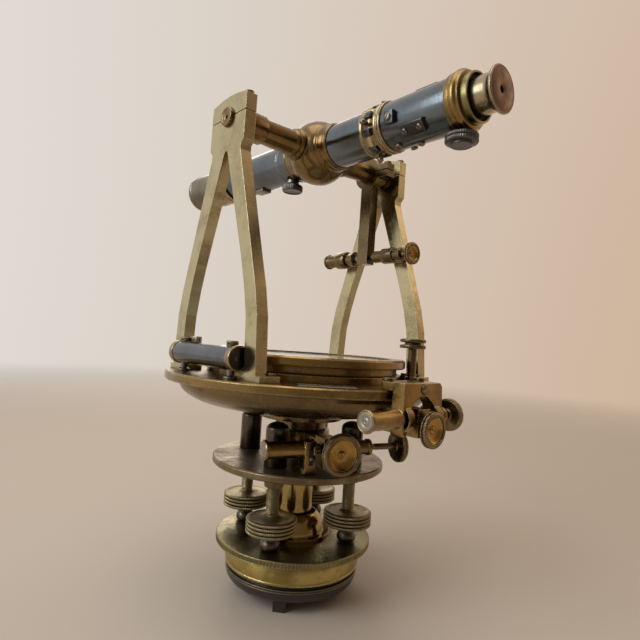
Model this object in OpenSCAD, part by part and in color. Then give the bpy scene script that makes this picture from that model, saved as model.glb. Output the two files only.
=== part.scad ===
// Surveyor's transit on a four-screw levelling head and a threaded base dish.
// X runs along the telescope's axle, Y along the telescope, Z up the vertical axis.
// The origin is on the vertical axis, at the underside of the base dish.

/* [Base dish] */
// Height of the lugs under the dish
lug_h = 6.5; // [3:0.5:8]
// Width of a lug
lug_w = 7.5; // [5:0.5:12]
// Distance of the lugs' middles inside the edge of the flat underside
lug_inset = 3; // [2:0.5:8]
// Number of lugs
lug_count = 3; // [3:1:4]
// Direction of the first lug
lug_angle = 221; // [0:1:359]
// Inset of the dish's rim from the skirt's outside
dish_inset = 0.8; // [0.2:0.1:2]
// Width of the curve between the flat underside and the rim
dish_curve_w = 6.5; // [4:0.5:10]
// Height of the dish
dish_h = 9; // [6:0.5:14]
// Height of the plain rim
dish_rim_h = 1.6; // [1:0.1:3]
// Thickness of the dish's floor
dish_floor_t = 3; // [2:0.5:5]
// Radius of the plumb line's hole
plumb_r = 6; // [3:0.5:10]
// Wall of the threaded boss
boss_wall = 3; // [2:0.5:5]

/* [Lower plate] */
// Outer radius of the threaded skirt
skirt_r = 44.3; // [42:0.1:48]
// Wall of the skirt
skirt_wall = 3; // [2:0.5:4]
// Height of the skirt
skirt_h = 13; // [8:0.5:20]
// Gap between the dish and the skirt
skirt_gap = 2.3; // [1:0.1:4]
// Reach of the lower plate beyond the skirt
low_plate_reach = 6.9; // [4:0.1:10]
// Thickness of the lower plate
low_plate_t = 4.4; // [3:0.2:7]
// Chamfer on the edges of both plates
plate_chamfer = 0.8; // [0.3:0.1:1.2]

/* [Ball and socket] */
// Radius of the half ball
ball_r = 16; // [14:0.5:17]
// Depth of the half ball under its centre
ball_drop = 8; // [4:0.5:10]
// Thickness of the slip ring between ball and socket
slip_t = 1.3; // [1:0.1:2]
// Height of the slip ring
slip_h = 9.5; // [8:0.5:10]
// Gap between the ball, the slip ring and the socket
ball_gap = 0.3; // [0.25:0.05:0.5]
// Wall of the socket's bell
bell_wall = 2.2; // [1.5:0.1:3]
// Height of the bell
bell_h = 14; // [12:0.5:15]
// Gap between the stem and the bell's mouth
mouth_gap = 2.4; // [2:0.1:2.6]
// Width of the bell's flange
bell_flange_w = 3.9; // [2:0.1:4.5]
// Thickness of the bell's flange
bell_flange_t = 2; // [1.5:0.1:3]
// Radius of the stem on the half ball
stem_r = 11.3; // [9.5:0.1:11.5]
// Width of the ring round the stem
stem_ring_w = 3; // [1.5:0.5:5]
// Height of the ring round the stem
stem_ring_h = 4; // [2:0.5:6]

/* [Levelling head] */
// Distance between the two plates
head_gap = 45.8; // [42:0.2:50]
// Reach of the upper plate beyond the lower one
up_plate_reach = 5.8; // [3:0.1:9]
// Thickness of the upper plate
up_plate_t = 4.5; // [3.5:0.5:7]
// Distance of the levelling screws inside the lower plate's edge
screw_inset = 14.2; // [12:0.1:15]
// Direction of the first levelling screw
screw_angle = 28; // [0:1:90]
// Height of the bosses under the upper plate
boss_h = 7.5; // [5:0.5:12]
// Wall of a boss at the plate
boss_top_wall = 3; // [2.5:0.5:5]
// Wall of a boss at its tip
boss_tip_wall = 1.8; // [1.5:0.1:2.4]
// Radius of a levelling screw's thread
thread_r = 4; // [3:0.1:4.2]
// Running clearance round shafts and screws
run_gap = 0.05; // [0.03:0.01:0.08]
// Gap between a levelling screw's disc and the middle's bell
disc_gap = 1.4; // [1:0.1:5]
// Height of a levelling screw's disc
disc_h = 8; // [6:0.5:10]
// Height of the disc above the lower plate
disc_lift = 12; // [11:0.5:14]
// Length of the screw above the upper plate
screw_top_h = 9; // [6:0.5:10]
// Radius of a shoe
shoe_r = 6.2; // [5.8:0.1:8]
// Height of a shoe
shoe_h = 9; // [7:0.5:10]
// Wall of a shoe's neck
shoe_neck_wall = 1.2; // [0.8:0.1:2.5]
// Rise of a shoe's crowned underside
shoe_crown = 0.6; // [0.5:0.1:1]
// Gap between a screw and its dust cap
cap_gap = 1.8; // [1:0.1:2.2]
// Height of a dust cap
cap_h = 27; // [24:0.5:28]
// Wall of a dust cap
cap_wall = 1.3; // [1:0.1:1.4]

/* [Centres] */
// Radius of the inner spindle
inner_r = 5; // [4:0.5:6]
// Wall of the outer spindle
outer_wall = 3; // [2:0.5:4]
// Wall of the head's socket
socket_wall = 4; // [3:0.5:5]
// Width of the socket's flange
socket_flange_w = 5; // [3:0.5:6]
// Thickness of the socket's flange
socket_flange_t = 3; // [2:0.5:4]

/* [Lower circle] */
// Height of the drum above the upper plate
drum_lift = 19.5; // [18:0.5:23]
// Reach of the drum beyond the neck
drum_reach = 2; // [1:0.1:5]
// Height of the drum
drum_h = 6.5; // [5:0.5:10]
// Wall of the neck under the drum
neck_wall = 2.7; // [2:0.1:3]
// Gap under the neck
neck_lift = 4; // [3.5:0.5:5]
// Reach of the flange beyond the drum
limb_flange_reach = 11; // [8:0.5:12]
// Width of the bowl's curve
bowl_slope_w = 37; // [34:0.5:42]
// Thickness of the flange under the bowl
limb_flange_t = 6.5; // [5:0.5:8]
// Inset of the bowl's rim from the vernier plate's rim
bowl_inset = 9; // [7:0.5:10]
// Height of the bowl
bowl_h = 15.9; // [14:0.1:18]
// Width of the graduated circle
limb_w = 11; // [8:0.5:12]
// Gap between turning plates
plate_gap = 0.3; // [0.25:0.05:0.5]

/* [Upper plate and compass] */
// Radius of the vernier plate
vernier_r = 91; // [89:0.5:96]
// Thickness of the vernier plate
vernier_t = 5.3; // [4:0.1:7]
// Direction of the first vernier window
window_angle = 60; // [55:1:65]
// Half of the angle that a window spans
window_half = 13; // [8:1:14]
// Width of a window
window_w = 12; // [8:0.5:13]
// Gap between a window and its glass
window_gap = 0.1; // [0.05:0.05:0.2]
// Inset of the compass ring from the vernier plate's rim
compass_inset = 23; // [22:0.5:25]
// Width of the compass ring
compass_ring_w = 9; // [8:0.5:12]
// Height of the compass box's foot
compass_foot_h = 5; // [4:0.5:6]
// Inset of the compass box's foot under its ring
compass_foot_inset = 3; // [2:0.5:4]
// Height of the groove in the compass box
compass_groove_h = 4; // [3:0.5:5]
// Depth of the groove in the compass box
compass_groove_d = 5.5; // [5:0.5:6]
// Height of the compass ring
compass_ring_h = 5.6; // [5:0.2:7]
// Depth of the glass under the top of the ring
glass_depth = 1; // [0.5:0.1:2]
// Thickness of the glass
glass_t = 1.6; // [1.2:0.1:2]
// Width of the dial's raised circle
dial_ring_w = 5.4; // [3.5:0.1:7]
// Height of the dial's raised circle
dial_rise = 5; // [4:0.5:5.5]
// Gap between the needle and the raised circle
needle_end_gap = 2; // [1:0.5:6]
// Height of the needle above the dial
needle_lift = 4; // [3.5:0.5:4.5]
// Distance of the lifter screw outside the compass ring
lifter_out = 4.4; // [4.2:0.1:6]
// Direction of the lifter screw
lifter_angle = -48; // [-50:1:-44]
// Height of the lifter screw's discs above the plate
lifter_h = 23; // [18:0.5:26]
// Radius of the lifter screw's discs
lifter_disc_r = 8.6; // [7:0.1:9]

/* [Standards] */
// Inset of the standards' outer faces from the vernier plate's rim
std_inset = 18; // [16:0.5:21]
// Thickness of a standard
std_t = 7.3; // [6:0.1:8]
// Height of the telescope's axis above the vernier plate
trunnion_h = 154; // [151:0.2:158]
// Gap between the compass ring and the standards' feet
foot_gap = 0.38; // [0.3:0.01:0.6]
// Reach of a leg beyond the middle of its foot
leg_reach = 5; // [3:0.1:6]
// Inset of the bend from the foot
leg_bend_inset = 2.6; // [1:0.1:4]
// Inset of the shoulder from the foot
leg_mid_inset = 11.2; // [9:0.1:13]
// Inset of the leg's top from the bearing block's side
leg_top_inset = 2.7; // [2:0.1:4]
// Height of the bend
bend_h = 35; // [30:0.5:40]
// Height of the shoulder
mid_h = 67; // [60:0.5:75]
// Width of a leg
leg_w = 10.5; // [9:0.5:11]
// Width of the bearing block beside the journal
block_side_w = 12.9; // [12:0.1:14.5]
// Depth of the bearing block under the journal
block_under = 14; // [12:0.2:16]
// Height of the bearing cap's sides above the journal
cap_over = 4.6; // [3:0.2:5]
// Height of the arch on the bearing cap
cap_arch = 2.4; // [1.6:0.2:3]
// Gap between the block and its cap
seam = 0.6; // [0.4:0.1:0.9]
// Length of a foot along the telescope
foot_len = 17; // [14:0.5:18]
// Reach of a foot towards the middle
foot_reach = 13.5; // [13:0.5:14.5]
// Thickness of a foot
foot_t = 3.5; // [2.5:0.5:5]
// Radius of a frame screw's shank
frame_screw_r = 1.5; // [1:0.1:1.8]
// Radius of a frame screw's head
frame_head_r = 2.8; // [2.4:0.1:3]
// Height of a frame screw's head
frame_head_h = 1.6; // [1:0.1:2]

/* [Plate level] */
// Gap between the level's tube and the compass ring
level_side_gap = 0.6; // [0.4:0.1:2]
// Radius of the level's tube
level_r = 6.8; // [6:0.1:7]
// Half length of the level's tube
level_half = 35; // [30:0.5:36]
// Gap between the level's tube and the plate
level_gap = 4.7; // [4:0.1:6]
// Wall of the level's tube
level_wall = 1; // [0.8:0.1:1.5]
// Gap between the vial and its tube
vial_gap = 1.2; // [0.8:0.1:1.8]
// Half length of the slot over the vial
level_slot_half = 20; // [15:0.5:24]
// Width of the slot over the vial
level_slot_w = 6.4; // [5:0.2:7]

/* [Telescope] */
// Outer radius of the tube at the hub
tube_hub_r = 14; // [13.6:0.1:14.6]
// Flare of the tube from the hub to the objective end
tube_flare = 0.6; // [0.4:0.1:1]
// Length of the tube ahead of the hub
tube_front_y = 100; // [95:1:104]
// Wall of the tube at the hub
tube_wall = 2.6; // [2.4:0.1:2.8]
// Wall of the tube at the objective end
tube_front_wall = 2; // [1.8:0.1:2.2]
// Step from the hub's tube to the wide tube behind the reticle
eye_tube_step = 0.5; // [0.4:0.1:0.8]
// Height of the beads at the end of the wide tube
bead_rise = 1.8; // [1.2:0.1:2.4]
// Start of the wide tube behind the hub
eye_tube_y = 61; // [60:0.5:64]
// Length of the wide tube
eye_tube_len = 44; // [42:0.5:45]
// Width of the stepped ring round the eyepiece
eye_ring_w = 5.4; // [4:0.1:6]
// Radius of the eyepiece tube
eyepiece_r = 9.9; // [9:0.1:10]
// Width of the eyepiece's flange
eyepiece_flange_w = 2.2; // [1.6:0.1:3.5]
// Reach of the eyepiece beyond the wide tube
eyepiece_reach = 31.5; // [29:0.5:32]
// Radius of the eye hole
eye_hole_r = 1.8; // [1:0.1:3]
// Height of the objective's grooved cell above the sunshade
cell_rise = 0.4; // [0.2:0.1:1.4]
// Gap between the tube and the objective's cell
cell_gap = 3; // [1:0.5:6]
// Length of the objective's cell
cell_len = 27; // [24:0.5:30]
// Height of the sunshade above the tube's objective end
shade_rise = 0.7; // [0.5:0.1:1.2]
// Length of the sunshade
shade_len = 32; // [26:1:40]
// Wall of the sunshade
shade_wall = 1.2; // [0.8:0.1:1.5]

/* [Axle] */
// Height of the round hub above the tube
hub_rise = 7.5; // [7:0.1:8.5]
// Radius of the axle's journals
journal_r = 5.8; // [5:0.1:7]
// Taper of the axle from the hub to its seat
axle_taper = 1.8; // [1:0.1:2.4]
// Height of the axle's seat above its journal
axle_seat_rise = 1.1; // [0.7:0.1:1.6]
// Height of the axle's shoulders above its journal
shoulder_rise = 2.2; // [1.8:0.1:3.5]
// Width of the axle's shoulders
shoulder_w = 7; // [5:0.5:7.5]
// Journal's stand-out from a standard
journal_proud = 2; // [1:0.1:3]

/* [Motions] */
// Inset of the lower tangent screw from the upper plate's rim
low_tangent_inset = 13; // [11:0.5:14]
// Height of the lower tangent screw above the upper plate
low_tangent_z = 14; // [12:0.5:15]
// Distance of the upper tangent screw outside the vernier plate's rim
up_tangent_out = 5; // [4.5:0.5:7]
// Depth of the upper tangent screw under the vernier plate
up_tangent_drop = 8.5; // [8:0.5:10]
// Depth of the vertical tangent screw under the axle
side_tangent_drop = 64.6; // [60:0.2:68]
// Radius of a spring box
spring_r = 5; // [4.5:0.1:5.2]
// Length of a spring box
spring_len = 31; // [26:1:34]
// Half width of a tangent arm
arm_half = 5; // [4:0.5:6]
// Gap between a tangent arm and the parts that push it
arm_gap = 0.3; // [0.2:0.05:0.4]
// Radius of a tangent screw
tangent_r = 2; // [1.5:0.1:2.4]
// Radius of a tangent screw's barrel
barrel_r = 4.4; // [4:0.1:4.8]
// Length of the lower tangent screw's barrel
low_barrel_len = 19; // [16:0.5:24]
// Length of the upper tangent screw's barrel
up_barrel_len = 13; // [12:0.5:18]
// Length of the vertical tangent screw's barrel
side_barrel_len = 26; // [24:0.5:30]
// Bare length between the lower barrel and its knob
low_stem_len = 18; // [4:0.5:22]
// Bare length between the upper barrel and its knob
up_stem_len = 4; // [3:0.5:12]
// Bare length between the vertical barrel and its knob
side_stem_len = 5; // [3:0.5:12]
// Radius of the lower tangent screw's knob
low_knob_r = 10.3; // [8:0.1:11]
// Radius of the upper tangent screw's knob
up_knob_r = 9.4; // [7:0.1:10]
// Radius of the vertical tangent screw's knob
side_knob_r = 7.8; // [6:0.1:8.4]
// Thickness of a tangent screw's knob
tangent_knob_t = 5; // [4:0.5:6]
// Radius of the lower clamp screw's knob
low_clamp_knob_r = 12.2; // [9:0.1:13]
// Radius of the upper clamp screw's knob
up_clamp_knob_r = 9.7; // [8:0.1:10.5]
// Gap between the upper plate's rim and the lower clamp's knob
low_clamp_out = 1; // [0.6:0.1:3]
// Thickness of a clamp screw's knob
clamp_knob_t = 6; // [5:0.5:8]
// Radius of a clamp screw's shank
clamp_screw_r = 2.5; // [2:0.1:3]

/* [Hidden] */
$fn = 64;

// Overlap of shapes that are one piece, and overrun of cuts
lap = 0.5;
cut = 1;

// Radii of the base and the levelling head, from the skirt's thread outwards
dish_r = skirt_r - dish_inset;
dish_floor_r = dish_r - dish_curve_w;
lug_circle_r = dish_floor_r - lug_inset;
low_plate_r = skirt_r + low_plate_reach;
screw_circle_r = low_plate_r - screw_inset;
up_plate_r = low_plate_r + up_plate_reach;

// Heights of the main seats above the underside of the dish
skirt_z = dish_h + skirt_gap;
low_z = skirt_z + skirt_h;
low_top = low_z + low_plate_t;
up_z = low_top + head_gap;
up_top = up_z + up_plate_t;
drum_z = up_top + drum_lift;
flange_z = drum_z + drum_h;
bowl_z = flange_z + limb_flange_t;
bowl_top = bowl_z + bowl_h;
vernier_z = bowl_top + plate_gap;
vernier_top = vernier_z + vernier_t;
groove_z = vernier_top + compass_foot_h;
ring_z = groove_z + compass_groove_h;
ring_top = ring_z + compass_ring_h;
axis_z = vernier_top + trunnion_h;

// Threads of the dish and the skirt
thread_gap = 0.1;
dish_boss_r = skirt_r - skirt_wall - thread_gap;

// Ball and socket radii
slip_in_r = ball_r + ball_gap;
slip_out_r = slip_in_r + slip_t;
bell_in_r = slip_out_r + ball_gap;
bell_r = bell_in_r + bell_wall;
bell_flange_r = bell_r + bell_flange_w;
bell_mouth_r = stem_r + mouth_gap;
stem_ring_r = stem_r + stem_ring_w;
ball_z = low_top;

// Centres
outer_r = inner_r + outer_wall;
socket_in_r = outer_r + run_gap;
socket_out_r = outer_r + socket_wall;
neck_in_r = socket_out_r + plate_gap;
socket_flange_r = socket_out_r + socket_flange_w;
neck_r = neck_in_r + neck_wall;
drum_r = neck_r + drum_reach;
limb_flange_r = drum_r + limb_flange_reach;
neck_z = up_top + neck_lift;
spindle_z = up_z;

// Levelling screws
shoe_clear = 0.3;
shoe_z = low_top + shoe_clear;
disc_z = low_top + disc_lift;
screw_top = up_top + screw_top_h;
disc_r = screw_circle_r - bell_r - disc_gap;
shoe_neck_r = thread_r + shoe_neck_wall;
cap_r = thread_r + cap_gap + cap_wall;

// Circle, vernier plate and compass, inwards from the plate's rim
bowl_r = vernier_r - bowl_inset;
compass_r = vernier_r - compass_inset;
compass_in_r = compass_r - compass_ring_w;
compass_foot_r = compass_r - compass_foot_inset;
compass_groove_r = compass_r - compass_groove_d;
box_in_r = compass_groove_r - 6;
dial_r = box_in_r - thread_gap;
dial_in_r = dial_r - dial_ring_w;
needle_half = dial_in_r - needle_end_gap;
lifter_r = compass_r + lifter_out;

// Standards and axle
std_x = vernier_r - std_inset;
foot_y = foot_len / 2 + sqrt(pow(compass_r + foot_gap, 2) - pow(std_x - foot_reach, 2));
leg_foot_y = foot_y + leg_reach;
leg_bend_y = leg_foot_y - leg_bend_inset;
leg_mid_y = leg_foot_y - leg_mid_inset;
head_edge = 0.3;
block_y = journal_r + block_side_w;
leg_top_y = block_y - leg_top_inset;
block_h = journal_r + block_under;
bearing_cap_h = journal_r + cap_over;
level_x = compass_r + level_r + level_side_gap;
level_lift = level_r + level_gap;
vial_r = level_r - level_wall - vial_gap;
axle_seat_r = journal_r + axle_seat_rise;
axle_root_r = axle_seat_r + axle_taper;
shoulder_r = journal_r + shoulder_rise;

// Telescope
tube_front_r = tube_hub_r + tube_flare;
eye_tube_r = tube_hub_r + eye_tube_step;
shade_r = tube_front_r + shade_rise;
tube_bore_r = tube_hub_r - tube_wall;
slide_r = tube_front_r - tube_front_wall;
bead_r = eye_tube_r + bead_rise;
bead_len = 6;
eye_tube_end = eye_tube_y + eye_tube_len;
eye_ring_r = eyepiece_r + eye_ring_w;
eyepiece_flange_r = eyepiece_r + eyepiece_flange_w;
eyepiece_end = eye_tube_end + eyepiece_reach;
cell_r = shade_r + cell_rise;
cell_y = tube_front_y + cell_gap;
hub_r = tube_hub_r + hub_rise;

// Lower motion lies between two levelling screws
low_motion_angle = screw_angle - 45;
low_tangent_y = up_plate_r - low_tangent_inset;
up_tangent_y = vernier_r + up_tangent_out;
low_tan_z = up_top + low_tangent_z;
up_tan_z = vernier_z - up_tangent_drop;
side_tan_z = axis_z - side_tangent_drop;
side_clamp_w = 8;
side_tan_x = std_x - std_t - shoulder_w - 2 * plate_gap - side_clamp_w / 2;

function arc(r, a0, a1, n) =
    [for (i = [0:n]) [r * cos(a0 + (a1 - a0) * i / n), r * sin(a0 + (a1 - a0) * i / n)]];
function shift(points, by) = [for (p = points) p + by];

module pipe(ro, ri, h) {
    difference() {
        cylinder(r = ro, h = h);
        translate([0, 0, -cut]) cylinder(r = ri, h = h + 2 * cut);
    }
}

// A disc with broken edges
module plate(r, t, edge) {
    rotate_extrude($fn = 128)
        polygon([[0, 0], [r - edge, 0], [r, edge], [r, t - edge], [r - edge, t], [0, t]]);
}

// Turned parts along the telescope, with the local z along +Y
module along_y(y) {
    translate([0, y, axis_z]) rotate([-90, 0, 0]) children();
}

module along_x(x, y, z) {
    translate([x, y, z]) rotate([0, 90, 0]) children();
}

// A milled knob with a neck, a rim and a dished face
module knob(r, t, bore_r) {
    neck = r * 0.45;
    rim = 1;
    rotate_extrude()
        polygon([
            [bore_r, 0], [neck, 0], [neck, t * 0.25], [r - rim, t * 0.3], [r, t * 0.42],
            [r, t - rim / 2], [r - rim / 2, t], [r - 2 * rim, t], [neck, t * 0.72], [bore_r, t * 0.72]
        ]);
}

module screws_at(k) {
    rotate([0, 0, screw_angle + 90 * k]) translate([screw_circle_r, 0, 0]) children();
}

// Base

module base_dish() {
    curve = shift(arc(dish_r - dish_floor_r, -90, 0, 8), [dish_floor_r, dish_h - dish_rim_h]);
    fall = (dish_h - dish_rim_h) / (dish_r - dish_floor_r);
    side = [for (p = curve) [p[0], dish_h - dish_rim_h + (p[1] - dish_h + dish_rim_h) * fall]];
    color([0.12, 0.11, 0.11]) {
        rotate_extrude($fn = 128)
            polygon(concat(
                [[plumb_r, 0]], side,
                [[dish_r, dish_h], [dish_boss_r, dish_h], [dish_boss_r, low_z],
                 [dish_boss_r - boss_wall, low_z], [dish_boss_r - boss_wall, dish_floor_t],
                 [plumb_r, dish_floor_t]]));
        for (i = [0:lug_count - 1])
            rotate([0, 0, lug_angle + i * 360 / lug_count])
                translate([lug_circle_r - lug_w / 2, -lug_w / 2, -lug_h])
                    cube([lug_w, lug_w, lug_h + lap]);
    }
}

module lower_plate() {
    skirt_in = skirt_r - skirt_wall;
    color([0.62, 0.52, 0.25])
        rotate_extrude($fn = 128)
            polygon([
                [skirt_in, skirt_z], [skirt_r, skirt_z], [skirt_r, low_z],
                [low_plate_r - plate_chamfer, low_z], [low_plate_r, low_z + plate_chamfer],
                [low_plate_r, low_top - plate_chamfer], [low_plate_r - plate_chamfer, low_top],
                [bell_in_r, low_top], [bell_in_r, low_z], [skirt_in, low_z]
            ]);
}

module ball_socket() {
    color([0.68, 0.55, 0.28])
        difference() {
            union() {
                translate([0, 0, low_top]) cylinder(r = bell_flange_r, h = bell_flange_t);
                intersection() {
                    translate([0, 0, ball_z]) sphere(r = bell_r);
                    translate([0, 0, low_top]) cylinder(r = bell_flange_r, h = bell_h);
                }
            }
            translate([0, 0, ball_z]) sphere(r = bell_in_r);
            translate([0, 0, low_top]) cylinder(r = bell_mouth_r, h = bell_h + cut);
        }
}

module slip_ring() {
    color([0.75, 0.62, 0.32])
        translate([0, 0, ball_z])
            difference() {
                intersection() {
                    sphere(r = slip_out_r);
                    cylinder(r = slip_out_r + cut, h = slip_h);
                }
                sphere(r = slip_in_r);
            }
}

module half_ball() {
    color([0.7, 0.57, 0.3]) {
        intersection() {
            translate([0, 0, ball_z]) sphere(r = ball_r);
            translate([0, 0, ball_z - ball_drop]) cylinder(r = ball_r + cut, h = ball_drop + ball_r);
        }
        translate([0, 0, ball_z]) cylinder(r = stem_r, h = up_z - ball_z);
        translate([0, 0, up_z - stem_ring_h]) cylinder(r = stem_ring_r, h = stem_ring_h);
    }
}

// Levelling head

module upper_plate() {
    color([0.5, 0.4, 0.22])
        difference() {
            union() {
                translate([0, 0, up_z]) plate(up_plate_r, up_plate_t, plate_chamfer);
                for (k = [0:3])
                    screws_at(k)
                        translate([0, 0, up_z - boss_h])
                            cylinder(
                                r1 = thread_r + boss_tip_wall, r2 = thread_r + boss_top_wall, h = boss_h + lap
                            );
            }
            for (k = [0:3])
                screws_at(k)
                    translate([0, 0, up_z - boss_h - cut])
                        cylinder(r = thread_r + run_gap, h = boss_h + up_plate_t + 2 * cut);
            translate([0, 0, up_z - cut]) cylinder(r = socket_in_r, h = up_plate_t + 2 * cut);
        }
}

module dust_caps() {
    dome = cap_r * 0.5;
    ball = (cap_r * cap_r + dome * dome) / (2 * dome);
    color([0.1, 0.11, 0.16])
        for (k = [0:3])
            screws_at(k)
                translate([0, 0, up_top])
                    difference() {
                        union() {
                            cylinder(r = cap_r, h = cap_h - dome);
                            intersection() {
                                translate([0, 0, cap_h - ball]) sphere(r = ball);
                                translate([0, 0, cap_h - dome - lap]) cylinder(r = cap_r, h = 2 * dome);
                            }
                        }
                        translate([0, 0, -cut])
                            cylinder(r = cap_r - cap_wall, h = cap_h - dome - cap_wall + cut);
                    }
}

module centre_socket() {
    color([0.6, 0.48, 0.24])
        translate([0, 0, up_top])
            difference() {
                union() {
                    cylinder(r = socket_flange_r, h = socket_flange_t);
                    cylinder(r = socket_out_r, h = drum_lift + drum_h / 2);
                }
                translate([0, 0, -cut]) cylinder(r = socket_in_r, h = drum_lift + drum_h + 2 * cut);
            }
}

module levelling_shoe(k) {
    ball = (shoe_r * shoe_r + shoe_crown * shoe_crown) / (2 * shoe_crown);
    skirt = 2;
    color([0.12, 0.12, 0.15])
        screws_at(k)
            translate([0, 0, shoe_z])
                difference() {
                    intersection() {
                        translate([0, 0, ball]) sphere(r = ball, $fn = 128);
                        union() {
                            cylinder(r = shoe_r, h = skirt);
                            translate([0, 0, skirt - lap / 5])
                                cylinder(r1 = shoe_r, r2 = shoe_neck_r, h = shoe_h - skirt + lap / 5);
                        }
                    }
                    translate([0, 0, shoe_h - shoe_h / 2]) cylinder(r = thread_r + run_gap, h = shoe_h);
                }
}

module levelling_screw(k) {
    neck = disc_r * 0.42;
    groove = 1.1;
    step = disc_h / 5;
    hub_h = 2;
    color([0.63, 0.58, 0.45])
        screws_at(k) {
            translate([0, 0, shoe_z + shoe_h / 2 + ball_gap])
                cylinder(r = thread_r, h = screw_top - shoe_z - shoe_h / 2 - ball_gap);
            translate([0, 0, disc_z])
                rotate_extrude()
                    polygon([
                        [0, -hub_h / 2], [neck, -hub_h / 2], [neck, 0], [disc_r - groove, 0],
                        [disc_r, step / 2], [disc_r, step], [disc_r - groove, step * 1.5], [disc_r, step * 2],
                        [disc_r, step * 3], [disc_r - groove, step * 3.5], [disc_r, step * 4],
                        [disc_r, step * 4.5], [disc_r - groove, disc_h], [neck, disc_h],
                        [neck, disc_h + hub_h], [0, disc_h + hub_h]
                    ]);
        }
}

// Lower clamp and tangent screw, in a frame whose -y side faces the arm

module low_motion() {
    rotate([0, 0, low_motion_angle]) children();
}

// Places of the parts along a tangent screw, from the middle of its arm
spring_start = arm_half + 5;
post_t = 7;
plunger_r = 3;
barrel_start = arm_half + 5;

module spring_box() {
    // The box runs towards -x, and its cap is a flange on the far end
    flange_r = spring_r + 0.9;
    flange_t = 1.6;
    difference() {
        union() {
            along_x(-spring_start - spring_len, 0, 0) cylinder(r = spring_r, h = spring_len);
            along_x(-spring_start - spring_len, 0, 0) cylinder(r = flange_r, h = flange_t);
            along_x(-spring_start - flange_t, 0, 0) cylinder(r = flange_r, h = flange_t);
        }
        plunger_bore();
    }
}

module tangent_barrel(len) {
    difference() {
        union() {
            along_x(barrel_start, 0, 0) cylinder(r = barrel_r, h = len);
            along_x(barrel_start + len - 2, 0, 0) cylinder(r = barrel_r + 0.6, h = 2);
        }
        tangent_bore(len);
    }
}

module plunger_bore() {
    bore_end = 3;
    along_x(-spring_start - spring_len + bore_end, 0, 0) cylinder(r = plunger_r + run_gap, h = spring_len);
}

module tangent_bore(len) {
    along_x(barrel_start - cut, 0, 0) cylinder(r = tangent_r + run_gap, h = len + 2 * cut);
}

module plunger() {
    tip_h = 1;
    spring_room = 6;
    along_x(-arm_half - arm_gap - spring_len + spring_room, 0, 0)
        cylinder(r = plunger_r, h = spring_len - spring_room - tip_h);
    along_x(-arm_half - arm_gap - tip_h - lap, 0, 0)
        cylinder(r1 = plunger_r, r2 = plunger_r * 0.6, h = tip_h + lap);
}

module tangent_screw(barrel, stem) {
    in_knob = 3;
    along_x(arm_half + arm_gap, 0, 0)
        cylinder(r = tangent_r, h = barrel_start + barrel + stem + in_knob - arm_half - arm_gap);
}

module tangent_knob(barrel, stem, r) {
    along_x(barrel_start + barrel + stem, 0, 0) knob(r, tangent_knob_t, tangent_r + run_gap);
}

module low_tangent_place() {
    low_motion() translate([0, -low_tangent_y, low_tan_z]) children();
}

module lower_tangent_block() {
    color([0.3, 0.24, 0.14])
        low_tangent_place()
            difference() {
                union() {
                    spring_box();
                    tangent_barrel(low_barrel_len);
                    for (x = [-spring_start - post_t, barrel_start])
                        translate([x, -spring_r, -low_tangent_z])
                            cube([post_t, 2 * spring_r, low_tangent_z + spring_r]);
                }
                plunger_bore();
                tangent_bore(low_barrel_len);
            }
}

low_arm_end = low_tangent_y + arm_half;
low_knob_y = max(low_arm_end, up_plate_r) + low_clamp_out;

module lower_clamp() {
    arm_low = low_tangent_z - 2.5;
    arm_high = 6.5;
    arm_in = 8;
    collar_h = 9;
    collar_r = neck_r + 5;
    slit = 1.2;
    color([0.45, 0.35, 0.18])
        low_motion()
            difference() {
                union() {
                    translate([0, 0, low_tan_z - collar_h / 2]) cylinder(r = collar_r, h = collar_h);
                    translate([-arm_half, -low_tangent_y + arm_in - lap, low_tan_z - collar_h / 2])
                        cube([2 * arm_half, low_tangent_y - arm_in + lap - neck_r, collar_h]);
                    translate([-arm_half, -low_arm_end, low_tan_z - arm_low])
                        cube([2 * arm_half, arm_half + arm_in, arm_low + arm_high]);
                }
                translate([0, 0, low_tan_z - collar_h]) cylinder(r = neck_r + run_gap, h = 2 * collar_h);
                translate([0, -neck_r, low_tan_z])
                    rotate([90, 0, 0]) cylinder(r = clamp_screw_r + run_gap, h = low_arm_end);
                translate([-slit / 2, neck_r - cut, low_tan_z - collar_h])
                    cube([slit, collar_r - neck_r + 2 * cut, 2 * collar_h]);
            }
}

module clamp_screw(len, r) {
    // The shank points to +y from the knob's face, and the knob faces -y
    rotate([90, 0, 0]) {
        translate([0, 0, -len]) cylinder(r = clamp_screw_r, h = len + 2);
        knob(r, clamp_knob_t, 0);
    }
}

module lower_clamp_screw() {
    color([0.55, 0.44, 0.22])
        low_motion()
            translate([0, -low_knob_y, low_tan_z]) clamp_screw(low_knob_y - neck_r - 1, low_clamp_knob_r);
}

module lower_tangent_screw() {
    color([0.5, 0.42, 0.25]) low_tangent_place() tangent_screw(low_barrel_len, low_stem_len);
}

module lower_tangent_knob() {
    color([0.55, 0.44, 0.22]) low_tangent_place() tangent_knob(low_barrel_len, low_stem_len, low_knob_r);
}

module lower_plunger() {
    color([0.6, 0.58, 0.5]) low_tangent_place() plunger();
}

// Lower circle

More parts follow.
